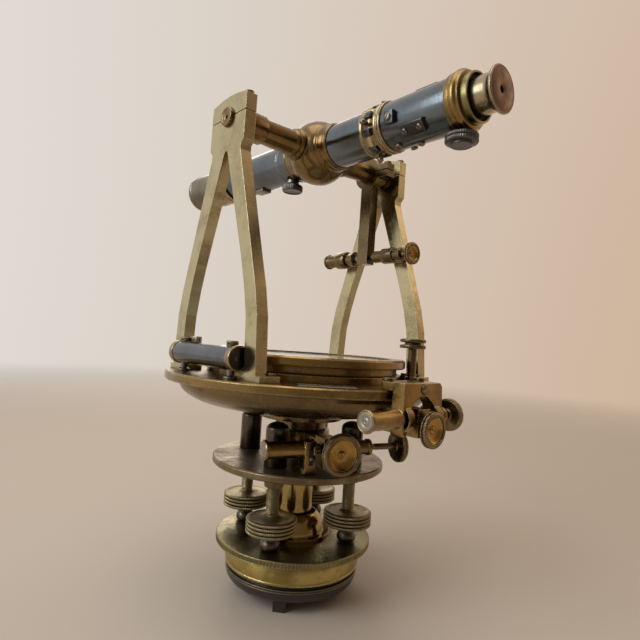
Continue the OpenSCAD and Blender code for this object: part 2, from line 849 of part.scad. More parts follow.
module limb() {
    bowl_in_r = bowl_r - bowl_slope_w;
    rim = [for (p = arc(1, -90, 0, 12)) [bowl_in_r + bowl_slope_w * p[0], bowl_top - 1 + (bowl_h - 1) * p[1]]];
    cavity_z = up_top + drum_lift + drum_h / 2 + 1;
    floor_z = bowl_z + 3;
    color([0.55, 0.43, 0.22])
        rotate_extrude($fn = 128)
            polygon(concat(
                [[inner_r + run_gap, spindle_z], [outer_r, spindle_z], [outer_r, cavity_z],
                 [neck_in_r, cavity_z], [neck_in_r, neck_z], [neck_r, neck_z], [neck_r, drum_z],
                 [drum_r, drum_z], [drum_r, flange_z], [limb_flange_r, flange_z],
                 [limb_flange_r, bowl_z]],
                rim,
                [[bowl_r, bowl_top], [bowl_r - limb_w, bowl_top],
                 [bowl_r - limb_w - 5, bowl_z + bowl_h / 2], [limb_flange_r - 2, floor_z],
                 [inner_r + run_gap, floor_z]]));
}

// Alidade

module inner_centre() {
    flange_r = 26;
    flange_t = 3;
    color([0.6, 0.58, 0.52]) {
        translate([0, 0, up_z + 2]) cylinder(r = inner_r, h = vernier_z - up_z - 2);
        translate([0, 0, vernier_z - flange_t]) cylinder(r = flange_r, h = flange_t);
    }
}

module window_sector(gap) {
    r0 = compass_r + 2.5 + gap;
    r1 = compass_r + 2.5 + window_w - gap;
    half = window_half - gap;
    for (a = [window_angle, window_angle + 180])
        rotate([0, 0, a - half])
            rotate_extrude(angle = 2 * half, $fn = 128)
                translate([r0, 0]) square([r1 - r0, vernier_t + 2 * cut]);
}

module foot_screw_places() {
    for (sx = [-1, 1], sy = [-1, 1], dy = [-5, 5])
        translate([sx * (std_x - std_t - frame_head_r - head_edge), sy * foot_y + dy, 0]) children();
}

module bracket_screw_places() {
    for (sx = [-1, 1])
        translate([sx * (bracket_half - bracket_leg / 2), -bracket_screw_y, 0]) children();
}

module vernier_plate() {
    hole_depth = 4;
    color([0.58, 0.45, 0.22])
        difference() {
            translate([0, 0, vernier_z]) plate(vernier_r, vernier_t, plate_chamfer);
            translate([0, 0, vernier_z - cut]) window_sector(0);
            translate([0, 0, vernier_top - hole_depth]) {
                foot_screw_places() cylinder(r = frame_screw_r + run_gap, h = hole_depth + cut);
                bracket_screw_places() cylinder(r = frame_screw_r + run_gap, h = hole_depth + cut);
            }
            rotate([0, 0, lifter_angle])
                translate([lifter_r, 0, vernier_top - 3]) cylinder(r = lifter_shank_r + run_gap, h = 3 + cut);
        }
}

module vernier_windows() {
    color([0.8, 0.88, 0.9, 0.5])
        intersection() {
            translate([0, 0, vernier_z - cut]) window_sector(window_gap);
            translate([0, 0, vernier_z + 1.2]) cylinder(r = vernier_r, h = vernier_t - 1.2 - 0.6);
        }
}

compass_floor = 1.5;
dial_z = vernier_top + compass_floor;
lift_ring_z = needle_lift - 1;

module compass_box() {
    glass_z = ring_top - glass_depth - glass_t;
    color([0.58, 0.45, 0.22])
        rotate_extrude($fn = 128)
            polygon([
                [0, vernier_top], [compass_foot_r, vernier_top], [compass_foot_r, groove_z - 1],
                [compass_foot_r - 1, groove_z], [compass_groove_r, groove_z],
                [compass_groove_r, ring_z], [compass_r - 0.8, ring_z], [compass_r, ring_z + 0.8],
                [compass_r, ring_top - 1], [compass_r - 1, ring_top], [compass_in_r, ring_top],
                [compass_in_r, glass_z], [box_in_r, glass_z], [box_in_r, dial_z], [0, dial_z]
            ]);
}

module compass_dial() {
    pivot_h = needle_lift - 0.4;
    color([0.85, 0.84, 0.78]) {
        translate([0, 0, dial_z]) cylinder(r = dial_r, h = 1);
        translate([0, 0, dial_z]) pipe(dial_r, dial_in_r, dial_rise);
        translate([0, 0, dial_z]) cylinder(r = 4.2, h = lift_ring_z - ball_gap);
        translate([0, 0, dial_z]) cylinder(r1 = 1, r2 = 0.4, h = 1 + pivot_h);
    }
}

module compass_glass() {
    color([0.85, 0.92, 0.92, 0.4])
        translate([0, 0, ring_top - glass_depth - glass_t])
            cylinder(r = compass_in_r - thread_gap, h = glass_t);
}

needle_angle = 34;

module compass_needle() {
    cap_h = 2.6;
    half_w = 2.4;
    t = 0.8;
    color([0.15, 0.17, 0.3])
        translate([0, 0, dial_z + 1 + needle_lift])
            rotate([0, 0, needle_angle])
                difference() {
                    union() {
                        linear_extrude(height = t)
                            polygon([[-needle_half, 0], [0, -half_w], [needle_half, 0], [0, half_w]]);
                        cylinder(r = 3, h = cap_h - 1);
                    }
                    translate([0, 0, -cut]) cylinder(r = 0.8, h = cap_h - 1.2);
                }
}

module needle_lift_ring() {
    t = 0.8;
    arm_from = 3.8;
    color([0.7, 0.58, 0.3])
        translate([0, 0, dial_z + lift_ring_z]) {
            pipe(5, 3, t);
            rotate([0, 0, lifter_angle])
                translate([arm_from, -1, 0]) cube([dial_in_r - arm_from - ball_gap, 2, t]);
        }
}

lifter_shank_r = 3;

module needle_lifter() {
    disc_t = 2.4;
    gap = 1.6;
    color([0.62, 0.5, 0.26])
        rotate([0, 0, lifter_angle])
            translate([lifter_r, 0, vernier_top]) {
                translate([0, 0, -2.5]) cylinder(r = lifter_shank_r, h = lifter_h + 2.5 + disc_t);
                cylinder(r = lifter_shank_r + 1, h = 4);
                translate([0, 0, lifter_h]) cylinder(r = lifter_disc_r, h = disc_t);
                translate([0, 0, lifter_h + disc_t + gap]) cylinder(r = lifter_disc_r, h = disc_t);
                translate([0, 0, lifter_h + disc_t - lap]) cylinder(r = lifter_disc_r - 3, h = gap + 2 * lap);
            }
}

// Standards

block_low = trunnion_h - block_h;

// Middle of a leg's width, between its shoulder and the bearing block
function leg_centre_at(h) =
    leg_mid_y + (leg_top_y - leg_mid_y) * (h - mid_h) / (block_low - 3 - mid_h) - leg_w / 2;

module leg_outline() {
    block_top = trunnion_h - seam / 2;
    chamfer = 3;
    right = [
        [leg_foot_y, 0], [leg_bend_y, bend_h], [(leg_bend_y + leg_mid_y) / 2 + 0.8, (bend_h + mid_h) / 2],
        [leg_mid_y, mid_h], [leg_top_y, block_low - chamfer], [leg_top_y, block_low],
        [block_y, block_low + chamfer], [block_y, block_top]
    ];
    left = [for (i = [len(right) - 1:-1:0]) [-right[i][0], right[i][1]]];
    polygon(concat(right, left));
}

module leg_opening() {
    crotch_h = trunnion_h - block_h - 1;
    crotch_y = leg_top_y - leg_w - 2.5;
    right = [
        [leg_foot_y - leg_w, -cut], [leg_bend_y - leg_w, bend_h],
        [(leg_bend_y + leg_mid_y) / 2 + 0.6 - leg_w, (bend_h + mid_h) / 2],
        [leg_mid_y - leg_w, mid_h], [crotch_y, crotch_h - 4], [crotch_y / 2, crotch_h]
    ];
    left = [for (i = [len(right) - 1:-1:0]) [-right[i][0], right[i][1]]];
    polygon(concat(right, left));
}

cap_screw_y = block_y - frame_head_r - head_edge;

module cap_screw_places() {
    for (sx = [-1, 1], sy = [-1, 1])
        translate([sx * (std_x - std_t / 2), sy * cap_screw_y, axis_z]) children();
}

module standard(side) {
    hole_depth = 10;
    foot_x = side < 0 ? -std_x : std_x - foot_reach;
    color([0.72, 0.6, 0.34])
        difference() {
            union() {
                translate([side < 0 ? -std_x : std_x - std_t, 0, vernier_top])
                    rotate([90, 0, 90])
                        linear_extrude(height = std_t)
                            difference() {
                                leg_outline();
                                leg_opening();
                            }
                for (sy = [-1, 1])
                    translate([foot_x, sy * foot_y - foot_len / 2, vernier_top])
                        cube([foot_reach, foot_len, foot_t]);
            }
            along_x(-std_x - cut, 0, axis_z) cylinder(r = journal_r + run_gap, h = 2 * std_x + 2 * cut);
            translate([0, 0, vernier_top - cut])
                foot_screw_places() cylinder(r = frame_screw_r + run_gap, h = foot_t + 2 * cut);
            cap_screw_places()
                translate([0, 0, -hole_depth]) cylinder(r = frame_screw_r + run_gap, h = hole_depth + cut);
        }
}

module bearing_caps() {
    arch_r = (block_y * block_y + cap_arch * cap_arch) / (2 * cap_arch);
    swing = asin(block_y / arch_r);
    top = shift(arc(arch_r, 90 - swing, 90 + swing, 10), [0, bearing_cap_h + cap_arch - arch_r]);
    color([0.72, 0.6, 0.34])
        difference() {
            for (x = [-std_x, std_x - std_t])
                translate([x, 0, axis_z])
                    rotate([90, 0, 90])
                        linear_extrude(height = std_t)
                            polygon(concat([[-block_y, seam / 2], [block_y, seam / 2]], top));
            along_x(-std_x - cut, 0, axis_z) cylinder(r = journal_r + run_gap, h = 2 * std_x + 2 * cut);
            cap_screw_places() cylinder(r = frame_screw_r + run_gap, h = bearing_cap_h + cap_arch + cut);
            cap_screw_places() translate([0, 0, bearing_cap_h]) cylinder(r = frame_head_r + head_edge, h = cap_arch);
        }
}

module frame_screw(len) {
    slot_w = 0.7;
    translate([0, 0, -len]) cylinder(r = frame_screw_r, h = len + lap, $fn = 24);
    difference() {
        cylinder(r = frame_head_r, h = frame_head_h, $fn = 32);
        translate([-frame_head_r - cut, -slot_w / 2, frame_head_h - 0.7])
            cube([2 * (frame_head_r + cut), slot_w, cut]);
    }
}

module frame_screws() {
    color([0.6, 0.48, 0.24]) {
        translate([0, 0, vernier_top + foot_t]) foot_screw_places() frame_screw(foot_t + 3.5);
        cap_screw_places() translate([0, 0, bearing_cap_h]) frame_screw(bearing_cap_h + 9);
        translate([0, 0, vernier_top + bracket_pad_t])
            bracket_screw_places() frame_screw(bracket_pad_t + 3.5);
    }
}

// Plate level

level_z = vernier_top + level_lift;

module along_level(y) {
    translate([-level_x, y, level_z]) rotate([-90, 0, 0]) children();
}

module plate_level_tube() {
    end_t = 4;
    end_r = level_r + 0.5;
    color([0.33, 0.37, 0.42])
        difference() {
            union() {
                along_level(-level_half) cylinder(r = level_r, h = 2 * level_half);
                along_level(-level_half) cylinder(r = end_r, h = end_t);
                along_level(level_half - end_t) cylinder(r = end_r, h = end_t);
            }
            along_level(-level_half + 2) cylinder(r = level_r - level_wall, h = 2 * level_half - 4);
            translate([-level_x - level_slot_w / 2, -level_slot_half, level_z])
                cube([level_slot_w, 2 * level_slot_half, level_r + cut]);
        }
}

module plate_level_vial() {
    color([0.75, 0.85, 0.6, 0.6])
        along_level(-level_half + 2) cylinder(r = vial_r, h = 2 * level_half - 4);
}

module plate_level_posts() {
    // Each post carries one end of the tube and ends in a capstan nut
    post_r = 2.2;
    post_y = level_half - 8;
    post_h = level_lift - level_r;
    color([0.6, 0.48, 0.24])
        for (s = [-1, 1])
            translate([-level_x, s * post_y, vernier_top]) {
                difference() {
                    cylinder(r = post_r, h = post_h + 1.5);
                    along_level_local(s * post_y);
                }
                cylinder(r = post_r + 1.6, h = 2);
            }
}

// The tube's outside, seen from a post's own place
module along_level_local(y) {
    translate([0, -y - level_half, level_lift]) rotate([-90, 0, 0]) cylinder(r = level_r, h = 2 * level_half);
}

// Upper clamp and tangent screw

bracket_half = 17;
bracket_leg = 6;
bracket_pad_t = 5;
bracket_out = vernier_r + 9;
bracket_low = up_tan_z - 9;
bracket_screw_y = vernier_r - 4.7;

module up_tangent_place() {
    translate([0, -up_tangent_y, up_tan_z]) children();
}

module upper_bracket() {
    rim_gap = 1;
    leg_depth = bracket_out - vernier_r - rim_gap + lap;
    color([0.5, 0.38, 0.18])
        difference() {
            union() {
                translate([-bracket_half, -bracket_out, vernier_top])
                    cube([2 * bracket_half, bracket_out - bracket_screw_y + frame_head_r + head_edge, bracket_pad_t]);
                for (x = [-bracket_half, bracket_half - bracket_leg])
                    translate([x, -bracket_out, bracket_low])
                        cube([bracket_leg, leg_depth, vernier_top - bracket_low + lap]);
                up_tangent_place() {
                    spring_box();
                    tangent_barrel(up_barrel_len);
                }
            }
            up_tangent_place() {
                plunger_bore();
                tangent_bore(up_barrel_len);
            }
            translate([0, 0, vernier_top - cut])
                bracket_screw_places() cylinder(r = frame_screw_r + run_gap, h = bracket_pad_t + 2 * cut);
        }
}

up_arm_end = up_tangent_y + arm_half;
up_screw_drop = 5;

module upper_clamp() {
    jaw_r = bowl_r + plate_gap;
    arm_z0 = up_tan_z - up_screw_drop - arm_half;
    arm_z1 = up_tan_z + arm_half;
    jaw_depth = 8;
    color([0.5, 0.38, 0.18])
        difference() {
            translate([-arm_half, -up_arm_end, arm_z0])
                cube([2 * arm_half, up_arm_end - bowl_r + jaw_depth, arm_z1 - arm_z0]);
            translate([0, 0, bowl_z]) cylinder(r = jaw_r, h = bowl_h + cut, $fn = 128);
            translate([0, -bowl_r + jaw_depth + 4, up_tan_z - up_screw_drop])
                rotate([90, 0, 0]) cylinder(r = clamp_screw_r + run_gap, h = up_arm_end);
        }
}

module upper_clamp_screw() {
    color([0.55, 0.42, 0.2])
        translate([0, -up_arm_end - 2, up_tan_z - up_screw_drop])
            clamp_screw(up_arm_end - bowl_r, up_clamp_knob_r);
}

module upper_tangent_screw() {
    color([0.5, 0.42, 0.25]) up_tangent_place() tangent_screw(up_barrel_len, up_stem_len);
}

module upper_tangent_knob() {
    color([0.55, 0.42, 0.2]) up_tangent_place() tangent_knob(up_barrel_len, up_stem_len, up_knob_r);
}

module upper_plunger() {
    color([0.6, 0.58, 0.5]) up_tangent_place() plunger();
}

// Vertical clamp and tangent screw, on the inside of the right standard

// Turned so that the spring box lies towards +Y and the knob towards -Y
module side_tangent_place() {
    translate([side_tan_x, 0, side_tan_z]) rotate([0, 0, -90]) children();
}

module side_tangent_block() {
    // Each half is held to a leg by a pad
    pad_reach = std_x - std_t - side_tan_x;
    pad_w = 10;
    pad_h = 8;
    leg_y = leg_centre_at(side_tan_z - vernier_top);
    color([0.5, 0.38, 0.18])
        side_tangent_place()
            difference() {
                union() {
                    spring_box();
                    tangent_barrel(side_barrel_len);
                    for (x = [-leg_y, leg_y])
                        translate([x - pad_w / 2, 0, -pad_h / 2]) cube([pad_w, pad_reach, pad_h]);
                }
                plunger_bore();
                tangent_bore(side_barrel_len);
            }
}

side_lug_y = 20;
side_screw_y = -side_lug_y + 3.2;

side_lug_h = 10;

module side_clamp() {
    collar_r = axle_seat_r + 5;
    tip = side_tangent_drop + 5;
    slit = 1;
    color([0.5, 0.38, 0.18])
        translate([side_tan_x - side_clamp_w / 2, 0, 0])
            difference() {
                union() {
                    along_x(0, 0, axis_z) cylinder(r = collar_r, h = side_clamp_w);
                    translate([0, -arm_half, axis_z - tip]) cube([side_clamp_w, 2 * arm_half, tip]);
                    translate([0, -side_lug_y, axis_z - side_lug_h / 2])
                        cube([side_clamp_w, side_lug_y, side_lug_h]);
                }
                along_x(-cut, 0, axis_z) cylinder(r = axle_seat_r + run_gap, h = side_clamp_w + 2 * cut);
                translate([-cut, -side_lug_y - cut, axis_z - slit / 2])
                    cube([side_clamp_w + 2 * cut, side_lug_y, slit]);
                translate([side_clamp_w / 2, side_screw_y, axis_z - side_lug_h / 2 - cut])
                    cylinder(r = frame_screw_r + run_gap, h = side_lug_h + 2 * cut);
            }
}

module side_clamp_screw() {
    color([0.6, 0.48, 0.24])
        translate([side_tan_x, side_screw_y, axis_z + side_lug_h / 2]) frame_screw(side_lug_h - 1);
}

module side_tangent_screw() {
    color([0.5, 0.42, 0.25]) side_tangent_place() tangent_screw(side_barrel_len, side_stem_len);
}

module side_tangent_knob() {
    color([0.55, 0.42, 0.2]) side_tangent_place() tangent_knob(side_barrel_len, side_stem_len, side_knob_r);
}

module side_plunger() {
    color([0.6, 0.58, 0.5]) side_tangent_place() plunger();
}

// Telescope

sleeve_y0 = -eye_tube_y + 6.5;
sleeve_y1 = -eye_tube_y + 14;
sleeve_r = tube_hub_r - 0.2;
eye_ring_len = 6.5;
pinion_y = 27;
eye_pinion_y = -(eye_tube_end + bead_len + 3.5);
pinion_hole_r = 3.2;
wide_bore_y = 48;
eye_tube_wall = 2;
sleeve_rim = 3;
sleeve_rise = 1.3;

module tube_profile() {
    eye_ring_y = -eye_tube_end - bead_len - eye_ring_len;
    polygon([
        [eyepiece_r + run_gap, eye_ring_y], [eye_ring_r, eye_ring_y], [eye_ring_r, -eye_tube_end - bead_len],
        [bead_r, -eye_tube_end - bead_len], [bead_r, -eye_tube_end], [eye_tube_r, -eye_tube_end],
        [eye_tube_r - 0.3, -eye_tube_y], [tube_hub_r + sleeve_rise, -eye_tube_y],
        [tube_hub_r + sleeve_rise, sleeve_y0], [sleeve_r, sleeve_y0], [sleeve_r, sleeve_y1],
        [tube_hub_r + 1.2, sleeve_y1], [tube_hub_r + 1.2, sleeve_y1 + sleeve_rim],
        [tube_hub_r, sleeve_y1 + sleeve_rim], [tube_hub_r, 26],
        [tube_hub_r + 0.2, 33], [tube_front_r, tube_front_y], [slide_r + run_gap, tube_front_y],
        [slide_r + run_gap, wide_bore_y], [tube_bore_r, wide_bore_y], [tube_bore_r, -eye_tube_y],
        [eye_tube_r - eye_tube_wall, -eye_tube_y - 4], [eye_tube_r - eye_tube_wall, -eye_tube_end],
        [eyepiece_r + run_gap, -eye_tube_end - 4]
    ]);
}

module telescope_tube() {
    color([0.42, 0.47, 0.52])
        difference() {
            along_y(0) rotate_extrude($fn = 96) tube_profile();
            translate([0, pinion_y, axis_z - tube_hub_r - 4])
                cylinder(r = pinion_hole_r, h = 4 + tube_wall + 1.4);
            translate([0, eye_pinion_y, axis_z - bead_r])
                cylinder(r = pinion_hole_r, h = bead_r - eyepiece_r + 2);
            for (a = [0:90:270])
                along_y((sleeve_y0 + sleeve_y1) / 2)
                    rotate([0, 90, a]) cylinder(r = capstan_r + run_gap, h = sleeve_r + cut);
        }
}

capstan_r = 1.3;

module capstan_screw(from_r, to_r) {
    head_h = 3.4;
    translate([0, 0, from_r]) cylinder(r = capstan_r, h = to_r - from_r, $fn = 24);
    translate([0, 0, to_r - head_h]) cylinder(r = 2.3, h = head_h, $fn = 32);
}

module reticle_mount() {
    mid = (sleeve_y0 + sleeve_y1) / 2;
    ring_r = tube_bore_r - 0.5;
    bar = [5, 15, 8];
    color([0.25, 0.22, 0.18]) {
        along_y(mid - 2) pipe(ring_r, 7, 4);
        for (a = [0:90:270])
            along_y(mid) rotate([0, 90, a]) capstan_screw(ring_r - 1, sleeve_r + 5.5);
        difference() {
            for (a = [-6, 62, -118])
                along_y(-eye_tube_y - 25)
                    rotate([0, 0, a])
                        translate([-eye_tube_r - bar[0] + 2.2, -bar[2] / 2, -bar[1] / 2])
                            cube([bar[0], bar[2], bar[1]]);
            along_y(-eye_tube_end - 5) cylinder(r = eye_tube_r + run_gap, h = eye_tube_len + 16, $fn = 96);
        }
    }
}

module telescope_axle() {
    seat_x0 = side_tan_x - side_clamp_w / 2 - 1;
    shoulder_x = std_x - std_t - plate_gap;
    half = [
        [0, 0], [hub_r * 0.62, 0], [hub_r * 0.62, hub_r], [axle_root_r, hub_r + 1.5],
        [axle_seat_r, seat_x0], [axle_seat_r, shoulder_x - shoulder_w],
        [shoulder_r, shoulder_x - shoulder_w], [shoulder_r, shoulder_x],
        [journal_r, shoulder_x], [journal_r, std_x + journal_proud - 0.5],
        [journal_r - 0.5, std_x + journal_proud], [1.2, std_x + journal_proud],
        [0, std_x + journal_proud - 1.5]
    ];
    bead_w = 4;
    color([0.55, 0.4, 0.2])
        difference() {
            union() {
                translate([0, 0, axis_z]) sphere(r = hub_r, $fn = 96);
                along_x(0, 0, axis_z) rotate_extrude() polygon(half);
                mirror([1, 0, 0]) along_x(0, 0, axis_z) rotate_extrude() polygon(half);
                along_y(-hub_r - 1) cylinder(r = tube_hub_r + 2.4, h = 2 * hub_r + 2);
            }
            along_y(-hub_r - bead_w) cylinder(r = tube_hub_r + run_gap, h = 2 * hub_r + 2 * bead_w, $fn = 96);
        }
}

slide_in_y = 14;
slide_step_y = wide_bore_y + 14;

module objective_slide() {
    inner = tube_bore_r - 0.2;
    color([0.62, 0.5, 0.26])
        along_y(0)
            rotate_extrude($fn = 96)
                polygon([
                    [inner - 1, slide_in_y], [inner, slide_in_y], [inner, slide_step_y],
                    [slide_r, slide_step_y], [slide_r, cell_y], [cell_r, cell_y],
                    [cell_r, cell_y + 3], [cell_r - 0.9, cell_y + 4], [cell_r - 0.9, cell_y + 8],
                    [cell_r, cell_y + 9], [cell_r, cell_y + 12], [cell_r - 0.9, cell_y + 13],
                    [cell_r - 0.9, cell_y + 17], [cell_r, cell_y + 18], [cell_r, cell_y + cell_len],
                    [shade_seat_r, cell_y + cell_len], [shade_seat_r, cell_y + cell_len + shade_lap],
                    [shade_seat_r - 1, cell_y + cell_len + shade_lap],
                    [shade_seat_r - 1, cell_y + cell_len - lens_seat],
                    [shade_seat_r - 2.5, cell_y + cell_len - lens_seat],
                    [shade_seat_r - 2.5, cell_y + 8], [inner - 1, cell_y - 2]
                ]);
}

shade_lap = 8;
lens_seat = 5;
shade_seat_r = shade_r - shade_wall - thread_gap;

module sunshade() {
    lip = 0.5;
    color([0.3, 0.27, 0.22])
        along_y(cell_y + cell_len) {
            pipe(shade_r, shade_r - shade_wall, shade_len);
            translate([0, 0, shade_len - 3]) pipe(shade_r + lip, shade_r - shade_wall, 3);
        }
}

module objective_lens() {
    color([0.75, 0.85, 0.95, 0.5])
        along_y(cell_y + cell_len - lens_seat)
            cylinder(r = shade_seat_r - 1 - thread_gap, h = 4);
}

pinion_r = 2.4;

module focus_pinion() {
    knob_low = tube_hub_r + 8;
    knob_r = 7.5;
    knob_h = 5;
    color([0.2, 0.18, 0.15])
        translate([0, pinion_y, axis_z - knob_low]) {
            cylinder(r = knob_r, h = knob_h);
            cylinder(r = pinion_r, h = knob_low - tube_bore_r - plate_gap);
        }
}

module eyepiece_slide() {
    flange_t = 2.2;
    tube_in = -eye_tube_end + 5;
    wall = 2;
    color([0.6, 0.48, 0.24])
        along_y(0)
            rotate_extrude($fn = 96)
                polygon([
                    [eyepiece_r - wall, tube_in], [eyepiece_r, tube_in],
                    [eyepiece_r, -eyepiece_end + 5], [eyepiece_flange_r - 1, -eyepiece_end + flange_t],
                    [eyepiece_flange_r, -eyepiece_end + flange_t - 0.6], [eyepiece_flange_r, -eyepiece_end],
                    [eye_hole_r + 2.5, -eyepiece_end], [eye_hole_r, -eyepiece_end + 1.6],
                    [eye_hole_r, -eyepiece_end + 3.4], [eyepiece_r - wall, -eyepiece_end + 3.4]
                ]);
}

module eyepiece_pinion() {
    knob_low = bead_r + 7.2;
    knob_r = 8.8;
    knob_h = 5;
    step_r = 6;
    step_h = 1.5;
    color([0.2, 0.18, 0.15])
        translate([0, eye_pinion_y, axis_z - knob_low]) {
            cylinder(r = step_r, h = step_h + lap);
            translate([0, 0, step_h]) cylinder(r = knob_r, h = knob_h);
            cylinder(r = pinion_r, h = knob_low - eyepiece_r - plate_gap - thread_gap);
        }
}

base_dish();
lower_plate();
ball_socket();
slip_ring();
half_ball();
upper_plate();
dust_caps();
centre_socket();
lower_tangent_block();
levelling_shoe(0);  // levelling_shoe_1
levelling_shoe(1);  // levelling_shoe_2
levelling_shoe(2);  // levelling_shoe_3
levelling_shoe(3);  // levelling_shoe_4
levelling_screw(0);  // levelling_screw_1
levelling_screw(1);  // levelling_screw_2
levelling_screw(2);  // levelling_screw_3
levelling_screw(3);  // levelling_screw_4
lower_clamp();
lower_clamp_screw();
lower_tangent_screw();
lower_tangent_knob();
lower_plunger();
limb();
vernier_plate();
inner_centre();
vernier_windows();
compass_box();
compass_dial();
compass_glass();
compass_needle();
needle_lift_ring();
needle_lifter();
standard(-1);  // standard_left
standard(1);  // standard_right
bearing_caps();
frame_screws();
plate_level_tube();
plate_level_vial();
plate_level_posts();
upper_bracket();
upper_plunger();
upper_tangent_screw();
upper_tangent_knob();
upper_clamp();
upper_clamp_screw();
side_tangent_block();
side_plunger();
side_tangent_screw();
side_tangent_knob();
side_clamp();
side_clamp_screw();
telescope_tube();
telescope_axle();
objective_slide();
sunshade();
objective_lens();
focus_pinion();
reticle_mount();
eyepiece_slide();
eyepiece_pinion();
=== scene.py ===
import bmesh
import bpy
import math
from mathutils import Matrix, Vector


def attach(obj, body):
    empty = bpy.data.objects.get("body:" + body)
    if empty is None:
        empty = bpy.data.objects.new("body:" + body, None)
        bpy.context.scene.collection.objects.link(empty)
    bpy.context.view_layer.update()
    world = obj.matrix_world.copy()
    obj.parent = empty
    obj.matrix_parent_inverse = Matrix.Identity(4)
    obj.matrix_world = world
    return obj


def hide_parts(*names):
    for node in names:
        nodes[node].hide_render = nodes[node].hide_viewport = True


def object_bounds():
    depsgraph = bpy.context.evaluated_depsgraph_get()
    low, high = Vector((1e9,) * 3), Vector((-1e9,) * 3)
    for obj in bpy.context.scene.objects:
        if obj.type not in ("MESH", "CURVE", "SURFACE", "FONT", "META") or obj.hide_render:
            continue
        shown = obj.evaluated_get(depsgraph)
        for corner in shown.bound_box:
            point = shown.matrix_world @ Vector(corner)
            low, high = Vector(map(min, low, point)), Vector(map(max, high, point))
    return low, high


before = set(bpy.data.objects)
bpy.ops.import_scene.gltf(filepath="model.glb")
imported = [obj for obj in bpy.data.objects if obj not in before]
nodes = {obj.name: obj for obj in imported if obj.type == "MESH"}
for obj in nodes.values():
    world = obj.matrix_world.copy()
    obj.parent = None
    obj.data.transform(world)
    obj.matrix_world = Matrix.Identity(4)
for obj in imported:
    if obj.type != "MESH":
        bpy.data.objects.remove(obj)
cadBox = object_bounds()
mm = 0.001
print("frame loaded:", len(nodes), "nodes")


shot = {
    "place": (-221.2, -259.0, 156.5),  # mm, in the part's own frame
    "yaw": -41.95,
    "pitch": 2.5,
    "roll": 3.82,
    "focalPixels": 495.0,
    "imagePixels": 640,
}
room = {
    "wallWarm": (0.60, 0.42, 0.285),
    "wallCool": (0.75, 0.72, 0.675),
    "floor": (0.60, 0.52, 0.44),
    "floorRadius": 2.6,
    "floorFade": (0.5, 2.2),
    "coolSide": (-0.74, 0.67, 0.12),
    "coolRange": (-0.75, 0.65),  # from all warm to all cool, along coolSide
    "fill": 0.62,
    "dimSide": (-0.36, -0.93, 0.06),  # the unlit end of the room, behind the camera
    "dimRange": (0.0, 0.85),
    "dimShare": 0.30,
    "lampAim": (0, 0, 0.17),
    "lamps": [  # name, place, width, watts, colour
        ("windowLamp", (-1.15, 0.25, 0.75), 0.8, 8.0, (0.93, 0.97, 1.0)),
        ("warmLamp", (1.15, -0.45, 0.9), 0.7, 0.9, (1.0, 0.80, 0.58)),
        ("topLamp", (-0.2, -0.2, 1.6), 1.2, 7.0, (1.0, 0.95, 0.88)),
        ("backLamp", (0.6, 1.2, 0.8), 0.8, 4.0, (1.0, 0.92, 0.82)),
    ],
}


def placeCamera():
    yaw, pitch, roll = (math.radians(shot[k]) for k in ("yaw", "pitch", "roll"))
    ahead = Vector((-math.sin(yaw) * math.cos(pitch), math.cos(yaw) * math.cos(pitch), math.sin(pitch)))
    level = Vector((math.cos(yaw), math.sin(yaw), 0))
    upright = level.cross(ahead)
    right = math.cos(roll) * level + math.sin(roll) * upright
    up = -math.sin(roll) * level + math.cos(roll) * upright
    data = bpy.data.cameras.new("camera")
    camera = bpy.data.objects.new("camera", data)
    bpy.context.scene.collection.objects.link(camera)
    turn = Matrix((right, up, -ahead)).transposed().to_4x4()
    camera.matrix_world = Matrix.Translation(Vector(shot["place"]) * mm) @ turn
    data.sensor_width = 36
    data.lens = 36 * shot["focalPixels"] / shot["imagePixels"]
    data.clip_start = 0.01
    data.clip_end = 50
    bpy.context.scene.camera = camera


def treeNode(tree, kind, settings=None, inputs=None):
    # a new node; an input that is a socket is linked, any other is the input's value
    made = tree.nodes.new(kind)
    for key, value in (settings or {}).items():
        setattr(made, key, value)
    for key, value in (inputs or {}).items():
        if isinstance(value, bpy.types.NodeSocket):
            tree.links.new(value, made.inputs[key])
        else:
            made.inputs[key].default_value = value
    return made


def makeWorld():
    # the wall of the photograph as plain light all round: cool on the left, warm on the right
    world = bpy.data.worlds.new("wall")
    bpy.context.scene.world = world
    world.use_nodes = True
    tree = world.node_tree
    tree.nodes.clear()

    def shader(kind, settings, inputs, out=0):
        return treeNode(tree, "ShaderNode" + kind, settings, inputs).outputs[out]

    def maths(operation, a, b):
        return shader("Math", {"operation": operation}, {0: a, 1: b})

    def towards(direction):
        return shader("VectorMath", {"operation": "DOT_PRODUCT"}, {0: where, 1: direction}, "Value")

    where = shader("TexCoord", {}, {}, "Generated")
    rays = treeNode(tree, "ShaderNodeLightPath").outputs
    low, high = room["coolRange"]
    share = shader("MapRange", {}, {0: towards(room["coolSide"]), 1: low, 2: high})
    colour = shader("Mix", {"data_type": "RGBA"},
                    {0: share, 6: room["wallWarm"] + (1.0,), 7: room["wallCool"] + (1.0,)}, 2)
    seen = maths("MAXIMUM", maths("MAXIMUM", rays["Is Camera Ray"], rays["Is Glossy Ray"]),
                 rays["Is Transmission Ray"])
    strength = shader("MapRange", {}, {0: seen, 3: room["fill"], 4: 1.0})
    low, high = room["dimRange"]
    dim = shader("MapRange", {"interpolation_type": "SMOOTHSTEP"},
                 {0: towards(room["dimSide"]), 1: low, 2: high, 3: 1.0, 4: room["dimShare"]})
    lit = maths("MAXIMUM", maths("MULTIPLY", strength, dim), rays["Is Camera Ray"])
    sky = shader("Background", {}, {"Color": colour, "Strength": lit})
    treeNode(tree, "ShaderNodeOutputWorld", {}, {0: sky})


